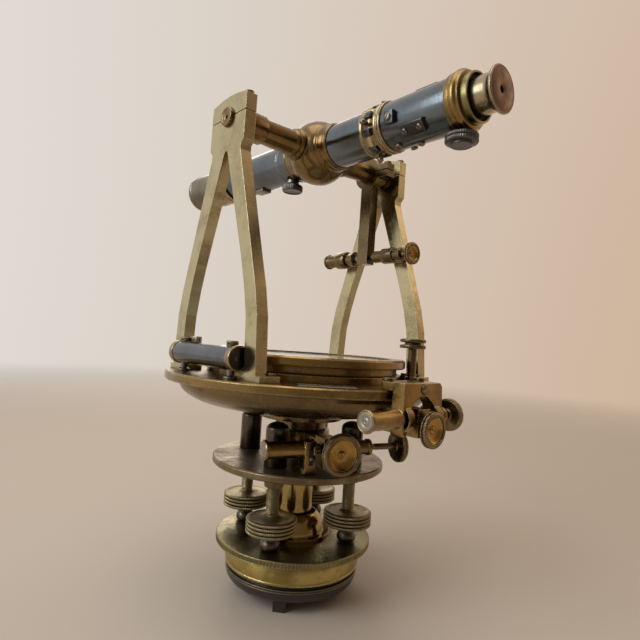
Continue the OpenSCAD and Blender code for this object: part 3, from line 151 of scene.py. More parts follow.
def makeLamps():
    for name, place, width, watts, colour in room["lamps"]:
        data = bpy.data.lights.new(name, "AREA")
        data.shape = "SQUARE"
        data.size = width
        data.energy = watts
        data.color = colour
        lamp = bpy.data.objects.new(name, data)
        bpy.context.scene.collection.objects.link(lamp)
        lamp.location = place
        lamp.rotation_mode = "QUATERNION"
        lamp.rotation_quaternion = (Vector(room["lampAim"]) - Vector(place)).to_track_quat("-Z", "Y")


placeCamera()
makeWorld()
makeLamps()
bpy.context.scene.view_settings.view_transform = "Standard"
print("camera and light placed")


class Wire:
    # one output of a finish's node tree, with arithmetic that adds Math nodes
    def __init__(self, finish, socket):
        self.finish = finish
        self.socket = socket

    def __add__(self, other):
        return self.finish.maths("ADD", self, other)

    def __radd__(self, other):
        return self.finish.maths("ADD", other, self)

    def __sub__(self, other):
        return self.finish.maths("SUBTRACT", self, other)

    def __rsub__(self, other):
        return self.finish.maths("SUBTRACT", other, self)

    def __mul__(self, other):
        return self.finish.maths("MULTIPLY", self, other)


class Finish:
    # a material and the nodes that make it
    def __init__(self, name):
        self.material = bpy.data.materials.new(name)
        self.material.use_nodes = True
        self.tree = self.material.node_tree
        self.tree.nodes.clear()
        where = self.node("TexCoord", out="Object")
        self.point = self.node("VectorMath", {"operation": "SCALE"}, {0: where, "Scale": 1000.0})
        split = self.node("SeparateXYZ", {}, {0: self.point})
        self.x, self.y, self.z = (Wire(self, s) for s in split.socket.node.outputs)

    def node(self, kind, settings=None, inputs=None, out=0):
        given = {key: value.socket if isinstance(value, Wire) else value for key, value in (inputs or {}).items()}
        made = treeNode(self.tree, "ShaderNode" + kind, settings, given)
        return Wire(self, made.outputs[out]) if made.outputs else None

    def maths(self, operation, *values):
        return self.node("Math", {"operation": operation}, dict(enumerate(values)))

    def smaller(self, a, b):
        return self.maths("MINIMUM", a, b)

    def larger(self, a, b):
        return self.maths("MAXIMUM", a, b)

    def ease(self, value, low, high, start=0.0, end=1.0):
        settings = {"interpolation_type": "SMOOTHSTEP"}
        return self.node("MapRange", settings, {0: value, 1: low, 2: high, 3: start, 4: end})

    def noise(self, where, scale, detail=3.0, rough=0.55, warp=0.0):
        values = {"Vector": where, "Scale": scale, "Detail": detail, "Roughness": rough, "Distortion": warp}
        return self.node("TexNoise", {}, values)

    def blend(self, share, a, b):
        values = {0: share, 6: a, 7: b}
        return self.node("Mix", {"data_type": "RGBA"}, values, 2)

    def vector(self, x, y, z):
        return self.node("CombineXYZ", {}, {0: x, 1: y, 2: z})

    def radius(self, a, b):
        return self.maths("SQRT", a * a + b * b)

    def grainPlace(self, way):
        # where the tool marks run: round an axis, or along a length
        if way == "roundZ":
            return self.vector(self.radius(self.x, self.y) * 3.0, self.z * 3.0, 0.0)
        if way == "roundY":
            return self.vector(self.radius(self.x, self.z - axisZ) * 3.0, self.y * 3.0, 0.0)
        if way == "roundX":
            return self.vector(self.radius(self.y, self.z - axisZ) * 3.0, self.x * 3.0, 0.0)
        if way == "upright":
            return self.vector(self.x * 5.0, self.y * 5.0, self.z * 0.12)
        return self.node("VectorMath", {"operation": "SCALE"}, {0: self.point, "Scale": 1.5})

    def bevelled(self, radius):
        # a rounded normal, and how far the flat one agrees with it
        rounded = self.node("Bevel", {"samples": 4}, {"Radius": radius})
        flat = self.node("NewGeometry", out="Normal")
        return rounded, self.node("VectorMath", {"operation": "DOT_PRODUCT"}, {0: rounded, 1: flat}, "Value")

    def finishWith(self, inputs):
        shader = self.node("BsdfPrincipled", {}, inputs)
        self.node("OutputMaterial", {}, {0: shader})
        return self.material


def rgba(colour, dim=1.0):
    return tuple(min(c * dim, 1.0) for c in colour) + (1.0,)


# what a user would change about each metal: its clean colour, its worn edge, its tarnish,
# roughness, tool marks, how far the tarnish has gone and how dark the painted shade in its recesses is
metals = {
    "brightBrass": dict(
        clean=(0.53, 0.455, 0.27), edge=(0.84, 0.76, 0.50), tarnish=(0.27, 0.215, 0.10),
        rough=(0.16, 0.36), grain="upright", grainDepth=0.010, spread=0.46, recessShadeStrength=0.85, coat=0.1,
    ),
    "bronzedBrass": dict(
        clean=(0.30, 0.19, 0.06), edge=(0.64, 0.50, 0.27), tarnish=(0.13, 0.088, 0.038),
        rough=(0.20, 0.42), grain="roundZ", grainDepth=0.012, spread=0.5, recessShadeStrength=0.85, coat=0.25,
    ),
    "bowlBronze": dict(
        clean=(0.20, 0.135, 0.055), edge=(0.56, 0.45, 0.26), tarnish=(0.095, 0.068, 0.034),
        rough=(0.20, 0.40), grain="roundZ", grainDepth=0.012, spread=0.5, recessShadeStrength=0.85, coat=0.25,
    ),
    "knobBrass": dict(
        clean=(0.20, 0.14, 0.065), edge=(0.52, 0.42, 0.26), tarnish=(0.09, 0.062, 0.030),
        rough=(0.18, 0.40), grain="even", grainDepth=0.008, spread=0.5, recessShadeStrength=0.9, coat=0.25,
    ),
    "axleBrass": dict(
        clean=(0.22, 0.135, 0.045), edge=(0.56, 0.42, 0.21), tarnish=(0.11, 0.065, 0.024),
        rough=(0.16, 0.34), grain="roundX", grainDepth=0.010, spread=0.5, recessShadeStrength=0.8, coat=0.35,
    ),
    "tubeBrass": dict(
        clean=(0.37, 0.29, 0.16), edge=(0.74, 0.62, 0.40), tarnish=(0.17, 0.125, 0.065),
        rough=(0.17, 0.36), grain="roundY", grainDepth=0.010, spread=0.5, recessShadeStrength=0.85, coat=0.25,
    ),
    "greenBrass": dict(
        clean=(0.24, 0.20, 0.085), edge=(0.56, 0.48, 0.26), tarnish=(0.10, 0.085, 0.035),
        rough=(0.24, 0.46), grain="roundZ", grainDepth=0.012, spread=0.5, recessShadeStrength=0.9, coat=0.15,
    ),
    "bellBrass": dict(
        clean=(0.35, 0.25, 0.085), edge=(0.76, 0.62, 0.34), tarnish=(0.18, 0.12, 0.035),
        rough=(0.10, 0.26), grain="roundZ", grainDepth=0.006, spread=0.4, recessShadeStrength=0.7, coat=0.35,
    ),
    "discBrass": dict(
        clean=(0.33, 0.27, 0.15), edge=(0.58, 0.49, 0.30), tarnish=(0.16, 0.125, 0.07),
        rough=(0.34, 0.58), grain="even", grainDepth=0.018, spread=0.55, recessShadeStrength=1.0, coat=0.0,
    ),
    "plateBrass": dict(
        clean=(0.25, 0.19, 0.105), edge=(0.60, 0.49, 0.29), tarnish=(0.11, 0.08, 0.048),
        rough=(0.30, 0.58), grain="roundZ", grainDepth=0.014, spread=0.55, recessShadeStrength=0.95, coat=0.05,
    ),
    "gunmetal": dict(
        clean=(0.15, 0.175, 0.20), edge=(0.44, 0.41, 0.34), tarnish=(0.105, 0.11, 0.11),
        rough=(0.14, 0.28), grain="roundY", grainDepth=0.008, spread=0.5, recessShadeStrength=0.7, coat=0.15,
    ),
    "shadeMetal": dict(
        clean=(0.24, 0.215, 0.165), edge=(0.46, 0.40, 0.28), tarnish=(0.15, 0.115, 0.07),
        rough=(0.26, 0.46), grain="roundY", grainDepth=0.010, spread=0.5, recessShadeStrength=0.8, coat=0.1,
    ),
    "skirtBrass": dict(
        clean=(0.46, 0.36, 0.12), edge=(0.74, 0.62, 0.32), tarnish=(0.20, 0.14, 0.035),
        rough=(0.22, 0.42), grain="roundZ", grainDepth=0.010, spread=0.5, recessShadeStrength=0.9, coat=0.2,
    ),
    "capBlack": dict(
        clean=(0.085, 0.068, 0.055), edge=(0.30, 0.25, 0.18), tarnish=(0.05, 0.038, 0.028),
        rough=(0.20, 0.38), grain="even", grainDepth=0.008, spread=0.5, recessShadeStrength=0.6, coat=0.4,
    ),
    "dishBrass": dict(
        clean=(0.42, 0.25, 0.06), edge=(0.70, 0.52, 0.24), tarnish=(0.22, 0.125, 0.03),
        rough=(0.16, 0.34), grain="even", grainDepth=0.006, spread=0.45, recessShadeStrength=0.9, coat=0.3,
    ),
    "shoeBronze": dict(
        clean=(0.115, 0.098, 0.075), edge=(0.34, 0.29, 0.20), tarnish=(0.07, 0.055, 0.042),
        rough=(0.26, 0.46), grain="even", grainDepth=0.010, spread=0.5, recessShadeStrength=0.7, coat=0.3,
    ),
    "blackened": dict(
        clean=(0.075, 0.075, 0.085), edge=(0.30, 0.26, 0.20), tarnish=(0.05, 0.04, 0.035),
        rough=(0.28, 0.46), grain="even", grainDepth=0.010, spread=0.5, recessShadeStrength=0.6, coat=0.3,
    ),
    "steel": dict(
        clean=(0.36, 0.355, 0.33), edge=(0.62, 0.60, 0.54), tarnish=(0.19, 0.155, 0.11),
        rough=(0.24, 0.44), grain="even", grainDepth=0.008, spread=0.5, recessShadeStrength=0.9, coat=0.0,
    ),
    "bluedSteel": dict(
        clean=(0.05, 0.07, 0.20), edge=(0.30, 0.33, 0.45), tarnish=(0.04, 0.045, 0.09),
        rough=(0.16, 0.30), grain="even", grainDepth=0.004, spread=0.5, recessShadeStrength=0.4, coat=0.2,
    ),
    "eyeBrass": dict(
        clean=(0.40, 0.33, 0.21), edge=(0.72, 0.64, 0.46), tarnish=(0.22, 0.17, 0.10),
        rough=(0.22, 0.38), grain="roundY", grainDepth=0.008, spread=0.45, recessShadeStrength=0.8, coat=0.15,
    ),
    "eyeFace": dict(
        clean=(0.27, 0.175, 0.125), edge=(0.52, 0.40, 0.28), tarnish=(0.19, 0.12, 0.08),
        rough=(0.45, 0.62), grain="even", grainDepth=0.010, spread=0.5, recessShadeStrength=0.6, coat=0.0,
    ),
}


def metalFinish(name, clean, edge, tarnish, rough, grain, grainDepth, spread, recessShadeStrength, coat):
    f = Finish(name)
    broad = f.noise(f.point, 0.045, 4.0, 0.6, 0.4)
    mottle = f.noise(f.point, 0.35, 5.0, 0.65)
    pits = f.noise(f.point, 2.6, 2.0, 0.5)
    toolMarks = f.noise(f.grainPlace(grain), 2.2, 3.0, 0.6)
    rounded, same = f.bevelled(0.0005)
    edgeWear = f.ease(1.0 - same + mottle * 0.03, 0.02, 0.16)
    # painted shade: ambient occlusion darkens the recesses towards a deep tarnish colour and makes them rougher,
    # broken up by noise
    nook = f.node("AmbientOcclusion", {"samples": 4}, {"Distance": 0.004}, "AO")
    paintedRecessShade = f.ease(nook + (mottle - 0.5) * 0.35, 0.72, 0.28) * recessShadeStrength
    stain = f.ease(broad + (mottle - 0.5) * 0.5, 1.0 - spread - 0.16, 1.0 - spread + 0.22)
    speck = f.ease(pits, 0.70, 0.78) * 0.45
    tone = f.blend(stain * 0.85, rgba(clean), rgba(tarnish))
    tone = f.blend(f.ease(toolMarks, 0.25, 0.75) * 0.20, tone, rgba(clean, 1.25))
    tone = f.blend(speck, tone, rgba(tarnish, 0.6))
    tone = f.blend(edgeWear * 0.8, tone, rgba(edge))
    # painted shade in the recesses
    tone = f.blend(paintedRecessShade, tone, rgba(tarnish, 0.35))
    low, high = rough
    dull = low + stain * (high - low) * 0.8 + (mottle - 0.5) * 0.12 + paintedRecessShade * 0.25 + speck * 0.3
    height = toolMarks + mottle * 0.6 - speck * 1.5
    bump = f.node("Bump", {}, {"Height": height, "Distance": grainDepth * mm * 3, "Strength": 0.8, "Normal": rounded})
    return f.finishWith({
        "Base Color": tone, "Metallic": 1.0, "Roughness": f.larger(dull, 0.06),
        "Coat Weight": coat, "Coat Roughness": 0.22, "Normal": bump,
    })


def enamelFinish(name, colour, worn, rough):
    # dark paint with chips down to the metal along its edges
    f = Finish(name)
    mottle = f.noise(f.point, 0.30, 5.0, 0.65)
    orange = f.noise(f.point, 1.4, 2.0, 0.5)
    rounded, same = f.bevelled(0.0006)
    chip = f.ease(1.0 - same + (mottle - 0.5) * 0.2, 0.10, 0.18)
    tone = f.blend(f.ease(mottle, 0.35, 0.7), rgba(colour), rgba(colour, 1.7))
    tone = f.blend(chip, tone, rgba(worn))
    bump = f.node("Bump", {}, {"Height": orange + mottle, "Distance": 0.03 * mm, "Strength": 0.6, "Normal": rounded})
    return f.finishWith({
        "Base Color": tone, "Metallic": chip * 0.9, "Roughness": rough + mottle * 0.2 - chip * 0.1, "Normal": bump,
        "Coat Weight": 0.2, "Coat Roughness": 0.3,
    })


def dialFinish(name, colour, aged):
    # silvered face: matt, with a circular brush and yellowed patches
    f = Finish(name)
    broad = f.noise(f.point, 0.06, 4.0, 0.6)
    circles = f.noise(f.grainPlace("roundZ"), 3.0, 2.0, 0.6)
    mottle = f.noise(f.point, 0.6, 4.0, 0.6)
    tone = f.blend(f.ease(broad + (mottle - 0.5) * 0.4, 0.42, 0.72), rgba(colour), rgba(aged))
    bump = f.node("Bump", {}, {"Height": circles, "Distance": 0.01 * mm, "Strength": 0.5})
    return f.finishWith({
        "Base Color": tone, "Metallic": 0.55, "Roughness": 0.42 + (mottle - 0.5) * 0.2, "Normal": bump,
    })


def glassFinish(name, tint, smear):
    # clear pane: mostly see-through, with a sharp reflection and faint dust
    f = Finish(name)
    dust = f.ease(f.noise(f.point, 0.25, 5.0, 0.7), 0.45, 0.8) * smear
    shine = f.node("BsdfPrincipled", {}, {
        "Base Color": rgba((0.9, 0.92, 0.9)), "Roughness": 0.03 + dust * 0.6, "Metallic": 0.0, "IOR": 1.5,
    })
    clear = f.node("BsdfTransparent", {}, {"Color": rgba(tint)})
    rim = f.node("Fresnel", {}, {"IOR": 1.45})
    both = f.node("MixShader", {}, {0: f.smaller(rim + dust * 0.3, 1.0), 1: clear, 2: shine})
    f.node("OutputMaterial", {}, {0: both})
    return f.material


def lensFinish(name):
    f = Finish(name)
    dust = f.ease(f.noise(f.point, 0.3, 4.0, 0.7), 0.5, 0.8)
    tone = f.blend(dust * 0.15, rgba((0.02, 0.03, 0.045)), rgba((0.4, 0.4, 0.38)))
    return f.finishWith({
        "Base Color": tone, "Roughness": 0.03 + dust * 0.12, "Coat Weight": 1.0, "Coat Roughness": 0.03, "IOR": 1.6,
    })


def spiritFinish(name, deepColour, paleColour):
    # the level's glass seen through its slot: pale green spirit behind glass
    f = Finish(name)
    deep = f.noise(f.point, 0.2, 3.0, 0.5)
    tone = f.blend(deep, rgba(deepColour), rgba(paleColour))
    return f.finishWith({
        "Base Color": tone, "Roughness": 0.08 + deep * 0.05, "Coat Weight": 1.0, "Coat Roughness": 0.02,
    })


def darkFinish(name, colour, rough):
    # lettering and ruled lines, and painted shade inside holes, slots and recesses
    f = Finish(name)
    deep = f.noise(f.point, 1.2, 3.0, 0.6)
    tone = f.blend(deep, rgba(colour), rgba(colour, 1.8))
    return f.finishWith({"Base Color": tone, "Roughness": rough + deep * 0.2})


axisZ = 287.0  # mm, height of the telescope's axis
lookUp = {name: metalFinish(name, **facts) for name, facts in metals.items()}
lookUp["blackIron"] = enamelFinish("blackIron", (0.020, 0.016, 0.014), (0.30, 0.25, 0.19), 0.30)
lookUp["dial"] = dialFinish("dial", (0.72, 0.71, 0.66), (0.60, 0.55, 0.42))
lookUp["circleFace"] = dialFinish("circleFace", (0.40, 0.38, 0.32), (0.30, 0.26, 0.19))
lookUp["clearGlass"] = glassFinish("clearGlass", (0.93, 0.96, 0.94), 0.5)
lookUp["lens"] = lensFinish("lens")
lookUp["spirit"] = spiritFinish("spirit", (0.46, 0.50, 0.26), (0.66, 0.66, 0.42))
lookUp["bubbleGlass"] = spiritFinish("bubbleGlass", (0.72, 0.74, 0.58), (0.86, 0.86, 0.74))
# one black finish for real print and for painted shade in holes, slots and recesses
lookUp["inkAndHoleShade"] = darkFinish("inkAndHoleShade", (0.012, 0.011, 0.010), 0.55)
print("finishes made:", len(lookUp))

cadFinish = {
    "blackIron": ["base_dish"],
    "greenBrass": ["lower_plate"],
    "bellBrass": ["ball_socket", "half_ball", "slip_ring"],
    "plateBrass": ["upper_plate", "centre_socket"],
    "capBlack": ["dust_caps"],
    "blackened": ["focus_pinion", "eyepiece_pinion"],
    "shoeBronze": ["levelling_shoe_%d" % k for k in range(1, 5)],
    "discBrass": ["levelling_screw_%d" % k for k in range(1, 5)],
    "bowlBronze": ["limb"],
    "bronzedBrass": ["vernier_plate", "compass_box", "upper_bracket", "upper_clamp", "lower_clamp",
                     "lower_tangent_block"],
    "knobBrass": ["lower_clamp_screw", "lower_tangent_knob", "upper_clamp_screw", "upper_tangent_knob",
                  "side_tangent_knob", "side_clamp_screw", "side_tangent_block", "side_clamp", "frame_screws",
                  "plate_level_posts", "needle_lifter", "needle_lift_ring"],
    "steel": ["lower_tangent_screw", "lower_plunger", "upper_tangent_screw", "upper_plunger",
              "side_tangent_screw", "side_plunger", "inner_centre"],
    "brightBrass": ["standard_left", "standard_right", "bearing_caps"],
    "axleBrass": ["telescope_axle"],
    "tubeBrass": ["objective_slide", "eyepiece_slide"],
    "gunmetal": ["telescope_tube", "plate_level_tube"],
    "shadeMetal": ["sunshade", "reticle_mount"],
    "bluedSteel": ["compass_needle"],
    "dial": ["compass_dial"],
    "clearGlass": ["compass_glass", "vernier_windows"],
    "lens": ["objective_lens"],
    "spirit": ["plate_level_vial"],
}
for look, names in cadFinish.items():
    for name in names:
        nodes[name].data.materials.clear()
        nodes[name].data.materials.append(lookUp[look])
print("finishes on the frame's own pieces")


def at(x, y, z):
    return Matrix.Translation((x, y, z))


def spun(degrees, axis="Z"):
    return Matrix.Rotation(math.radians(degrees), 4, axis)


def along(origin, axis, twist=0.0):
    # a place whose own upright runs along the axis
    turn = Vector(axis).to_track_quat("Z", "Y").to_matrix().to_4x4()
    return Matrix.Translation(Vector(origin)) @ turn @ spun(twist)


def placed(outline, foot, stretch=1.0):
    # an outline moved up from its foot
    return [(point[0], foot + point[1] * stretch) + tuple(point[2:]) for point in outline]


class Shape:
    # a mesh in the making, measured in millimetres
    def __init__(self):
        self.build = bmesh.new()

    def turned(self, profile, place=Matrix(), segments=96, milling=0.0):
        # each point of the profile is a radius, a height and, on a milled edge, True
        rings = []
        for radius, height, *milled in profile:
            if radius == 0:
                rings.append([self.build.verts.new(place @ Vector((0, 0, height)))])
                continue
            ring = []
            for i in range(segments):
                angle = math.tau * i / segments
                r = radius - (milling if milled and i % 2 else 0)
                ring.append(self.build.verts.new(place @ Vector((r * math.cos(angle), r * math.sin(angle), height))))
            rings.append(ring)
        pairs = list(zip(rings, rings[1:]))
        if len(rings[0]) > 1:
            pairs.append((rings[-1], rings[0]))
        for low, high in pairs:
            for i in range(segments):
                j = (i + 1) % segments
                if len(low) == 1:
                    self.build.faces.new((low[0], high[j], high[i]))
                elif len(high) == 1:
                    self.build.faces.new((low[i], low[j], high[0]))
                else:
                    self.build.faces.new((low[i], low[j], high[j], high[i]))
        return self

    def block(self, size, place=Matrix(), edge=0.5):
        made = bmesh.ops.create_cube(self.build, size=1.0)["verts"]
        bmesh.ops.scale(self.build, verts=made, vec=size)
        bmesh.ops.transform(self.build, verts=made, matrix=place)
        # each edge once, in the order in which they are found
        edges = list(dict.fromkeys(e for v in made for e in v.link_edges))
        bmesh.ops.bevel(self.build, geom=edges, offset=edge, segments=2, profile=0.6, affect="EDGES")
        return self

    def sheet(self, outline, thick, place=Matrix(), edge=0.3):
        # a flat outline with a thickness and softened rims
        low = [self.build.verts.new(place @ Vector((x, y, 0))) for x, y in outline]
        high = [self.build.verts.new(place @ Vector((x, y, thick))) for x, y in outline]
        faces = [self.build.faces.new(low[::-1]), self.build.faces.new(high)]
        for i in range(len(low)):
            j = (i + 1) % len(low)
            self.build.faces.new((low[i], low[j], high[j], high[i]))
        if edge:
            rims = [e for f in faces for e in f.edges]
            bmesh.ops.bevel(self.build, geom=rims, offset=edge, segments=2, profile=0.6, affect="EDGES")
        return self

    def take(self, mesh, place=Matrix()):
        before = len(self.build.verts)
        self.build.from_mesh(mesh)
        self.build.verts.ensure_lookup_table()
        bmesh.ops.transform(self.build, verts=self.build.verts[before:], matrix=place)
        bpy.data.meshes.remove(mesh)
        return self

    def asMesh(self, name):
        mesh = bpy.data.meshes.new(name)
        self.build.to_mesh(mesh)
        self.build.free()
        return mesh

    def piece(self, name, body, look, replaces=(), sharp=28, outward=True):
        if outward:
            bmesh.ops.recalc_face_normals(self.build, faces=self.build.faces)
        bmesh.ops.scale(self.build, verts=self.build.verts, vec=(mm, mm, mm))
        mesh = self.asMesh(name)
        mesh.shade_smooth()
        mesh.set_sharp_from_angle(angle=math.radians(sharp))
        mesh.materials.clear()
        mesh.materials.append(lookUp[look])
        mesh.polygons.foreach_set("material_index", [0] * len(mesh.polygons))
        made = bpy.data.objects.new(name, mesh)
        bpy.context.scene.collection.objects.link(made)
        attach(made, body)
        if replaces:
            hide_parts(*replaces)
        return made


def nodeTree(name, sockets):
    # an empty Geometry Nodes tree with named inputs; the first is always the shape itself
    tree = bpy.data.node_groups.new(name, "GeometryNodeTree")
    tree.interface.new_socket(name="Shape", in_out="INPUT", socket_type="NodeSocketGeometry")
    for label, kind in sockets:
        tree.interface.new_socket(name=label, in_out="INPUT", socket_type="NodeSocket" + kind)
    tree.interface.new_socket(name="Result", in_out="OUTPUT", socket_type="NodeSocketGeometry")
    return tree


def endTree(tree, shape, given):
    real = treeNode(tree, "GeometryNodeRealizeInstances", {}, {0: shape}).outputs[0]
    done = treeNode(tree, "GeometryNodeSetMaterial", {}, {"Geometry": real, "Material": given["Finish"]}).outputs[0]
    treeNode(tree, "NodeGroupOutput", {}, {0: done})
    return tree


def ringOfCopies():
    # copies of a shape set round a circle, each turned to face outwards
    tree = nodeTree("ringOfCopies", [("Count", "Int"), ("Radius", "Float"), ("Start", "Float"), ("Step", "Float"),
                                     ("Finish", "Material")])
    given = treeNode(tree, "NodeGroupInput").outputs
    index = treeNode(tree, "GeometryNodeInputIndex").outputs[0]
    far = treeNode(tree, "ShaderNodeMath", {"operation": "MULTIPLY"}, {0: index, 1: given["Step"]}).outputs[0]
    angle = treeNode(tree, "ShaderNodeMath", {"operation": "ADD"}, {0: far, 1: given["Start"]}).outputs[0]
    across = treeNode(tree, "ShaderNodeMath", {"operation": "COSINE"}, {0: angle}).outputs[0]
    ahead = treeNode(tree, "ShaderNodeMath", {"operation": "SINE"}, {0: angle}).outputs[0]
    unit = treeNode(tree, "ShaderNodeCombineXYZ", {}, {0: across, 1: ahead}).outputs[0]
    spot = treeNode(tree, "ShaderNodeVectorMath", {"operation": "SCALE"},
                    {0: unit, "Scale": given["Radius"]}).outputs[0]
    points = treeNode(tree, "GeometryNodePoints", {}, {"Count": given["Count"], "Position": spot}).outputs[0]
    turn = treeNode(tree, "ShaderNodeCombineXYZ", {}, {2: angle}).outputs[0]
    copies = treeNode(tree, "GeometryNodeInstanceOnPoints", {},
                      {"Points": points, "Instance": given["Shape"], "Rotation": turn}).outputs[0]
    return endTree(tree, copies, given)


def screwThread():
    # one ridge that climbs a shaft: the root radius, the pitch, the number of turns and the ridge's size
    tree = nodeTree("screwThread", [("Root", "Float"), ("Pitch", "Float"), ("Turns", "Float"), ("Ridge", "Float"),
                                    ("Finish", "Material")])
    given = treeNode(tree, "NodeGroupInput").outputs
    high = treeNode(tree, "ShaderNodeMath", {"operation": "MULTIPLY"},
                    {0: given["Pitch"], 1: given["Turns"]}).outputs[0]
    path = treeNode(tree, "GeometryNodeCurveSpiral", {}, {
        "Resolution": 24, "Rotations": given["Turns"], "Start Radius": given["Root"], "End Radius": given["Root"],
        "Height": high}).outputs[0]
    section = treeNode(tree, "GeometryNodeCurvePrimitiveCircle", {"mode": "RADIUS"},
                       {"Resolution": 4, "Radius": given["Ridge"]}).outputs[0]
    swept = treeNode(tree, "GeometryNodeCurveToMesh", {},
                     {"Curve": path, "Profile Curve": section, "Fill Caps": True}).outputs[0]
    return endTree(tree, swept, given)


def grown(tree, values, look, shape=None):
    # the mesh that a tree makes of a shape, with the tree gone
    mesh = shape.asMesh("seed") if shape else bpy.data.meshes.new("seed")
    holder = bpy.data.objects.new("seed", mesh)
    bpy.context.scene.collection.objects.link(holder)
    modifier = holder.modifiers.new("tree", "NODES")
    modifier.node_group = tree
    for item in tree.interface.items_tree:
        if item.in_out == "INPUT" and item.name in values:
            modifier[item.identifier] = values[item.name]
        elif item.in_out == "INPUT" and item.name == "Finish":
            modifier[item.identifier] = lookUp[look]
    bpy.context.view_layer.update()
    result = bpy.data.meshes.new_from_object(holder.evaluated_get(bpy.context.evaluated_depsgraph_get()))
    holder.modifiers.clear()
    bpy.data.objects.remove(holder)
    bpy.data.meshes.remove(mesh)
    return result


copiesTree = ringOfCopies()
threadTree = screwThread()


def ringOf(shape, count, radius, look, start=0.0, step=None):
    step = math.tau / count if step is None else math.radians(step)
    values = {"Count": count, "Radius": float(radius), "Start": math.radians(start), "Step": step}
    return grown(copiesTree, values, look, shape)


def thread(root, pitch, length, look, ridge=0.42):
    values = {"Root": float(root), "Pitch": float(pitch), "Turns": length / pitch, "Ridge": ridge}
    return grown(threadTree, values, look)


def figure(word, size):
    # one figure as a mesh, its middle at the origin and its top towards +y
    data = bpy.data.curves.new("figure", "FONT")
    data.body = word
    data.size = size
    data.align_x = "CENTER"
    data.align_y = "CENTER"
    data.extrude = 0.04
    data.resolution_u = 3
    holder = bpy.data.objects.new("figure", data)
    bpy.context.scene.collection.objects.link(holder)
    bpy.context.view_layer.update()
    mesh = bpy.data.meshes.new_from_object(holder.evaluated_get(bpy.context.evaluated_depsgraph_get()))
    bpy.data.objects.remove(holder)
    bpy.data.curves.remove(data)
    return mesh


print("shape tools ready")

axisX = along((0, 0, axisZ), (1, 0, 0))
axisY = along((0, 0, axisZ), (0, 1, 0))


# levelling screws, their shoes and the plates they stand between
levelling = {
    "circle": 37.0, "firstAngle": 28, "plateTop": 28.7,
    "discRadius": 15.5, "groove": 1.5, "bands": 4, "discLow": 10.9, "discHigh": 19.9,
    "shaft": 3.62, "pitch": 1.0, "threadFrom": 22.6, "threadTo": 37.6, "milling": 0.42, "ridges": 74,
}


def makeLevellingScrews():
    f = levelling
    r, low, high = f["discRadius"], f["discLow"], f["discHigh"]
    band = (high - low - 0.2) / f["bands"]
    for k in range(4):
        angle = math.radians(f["firstAngle"] + 90 * k)
        foot = (f["circle"] * math.cos(angle), f["circle"] * math.sin(angle), f["plateTop"])
        place = along(foot, (0, 0, 1), 17 * k)
        profile = [(0, 5.1), (3.2, 5.1), (f["shaft"], 5.5), (f["shaft"], 10.4), (5.3, 10.5), (6.4, 10.7), (6.5, low),
                   (r - 2.2, low)]
        for n in range(f["bands"]):
            z = low + 0.1 + n * band
            profile += [(r - f["groove"], z + 0.08), (r - 0.6, z + 0.22, True), (r - 0.15, z + 0.5, True),
                        (r, z + 0.85, True), (r, z + band - 0.85, True), (r - 0.15, z + band - 0.5, True),
                        (r - 0.6, z + band - 0.22, True), (r - f["groove"], z + band - 0.08)]
        profile += [(r - 2.0, high), (r - 2.5, high - 0.25), (6.2, high - 0.12), (5.2, high + 0.25),
                    (4.4, high + 0.9), (f["shaft"], high + 1.1), (f["shaft"], 58.8), (3.2, 59.3), (0, 59.3)]
        screw = Shape().turned(profile, place, f["ridges"] * 2, f["milling"])
        ridge = thread(f["shaft"], f["pitch"], f["threadTo"] - f["threadFrom"], "discBrass")
        screw.take(ridge, place @ at(0, 0, f["threadFrom"]))
        number = str(k + 1)
        screw.piece("levellingScrew" + number, "screw_" + number, "discBrass", ["levelling_screw_" + number], 35,
                    outward=False)
        shoe = Shape().turned([
            (0, 0.25), (2.0, 0.27), (4.2, 0.55), (5.3, 1.0), (5.95, 1.8), (6.2, 2.9), (6.15, 4.0), (5.75, 5.2),
            (5.1, 6.2), (4.75, 6.8), (4.75, 7.2), (5.1, 7.5), (5.2, 8.2), (5.05, 8.9), (4.7, 9.3), (4.15, 9.3),
            (4.15, 5.0), (0, 4.9),
        ], place, 48)
        shoe.piece("levellingShoe" + number, "shoe_" + number, "shoeBronze", ["levelling_shoe_" + number])


baseDetail = {
    "plateRadius": 51.2, "plateLow": 24.3, "plateHigh": 28.7, "hole": 18.0, "ridges": 150, "ridgeDepth": 0.5,
    "skirtRadius": 44.3, "skirtInside": 41.3, "skirtLow": 11.3, "wireRadius": 43.5, "wires": (8.95, 7.6),
    "lugCircle": 33.2, "lugAngles": (221, 341, 101), "lug": (7.8, 7.8, 6.4),
}


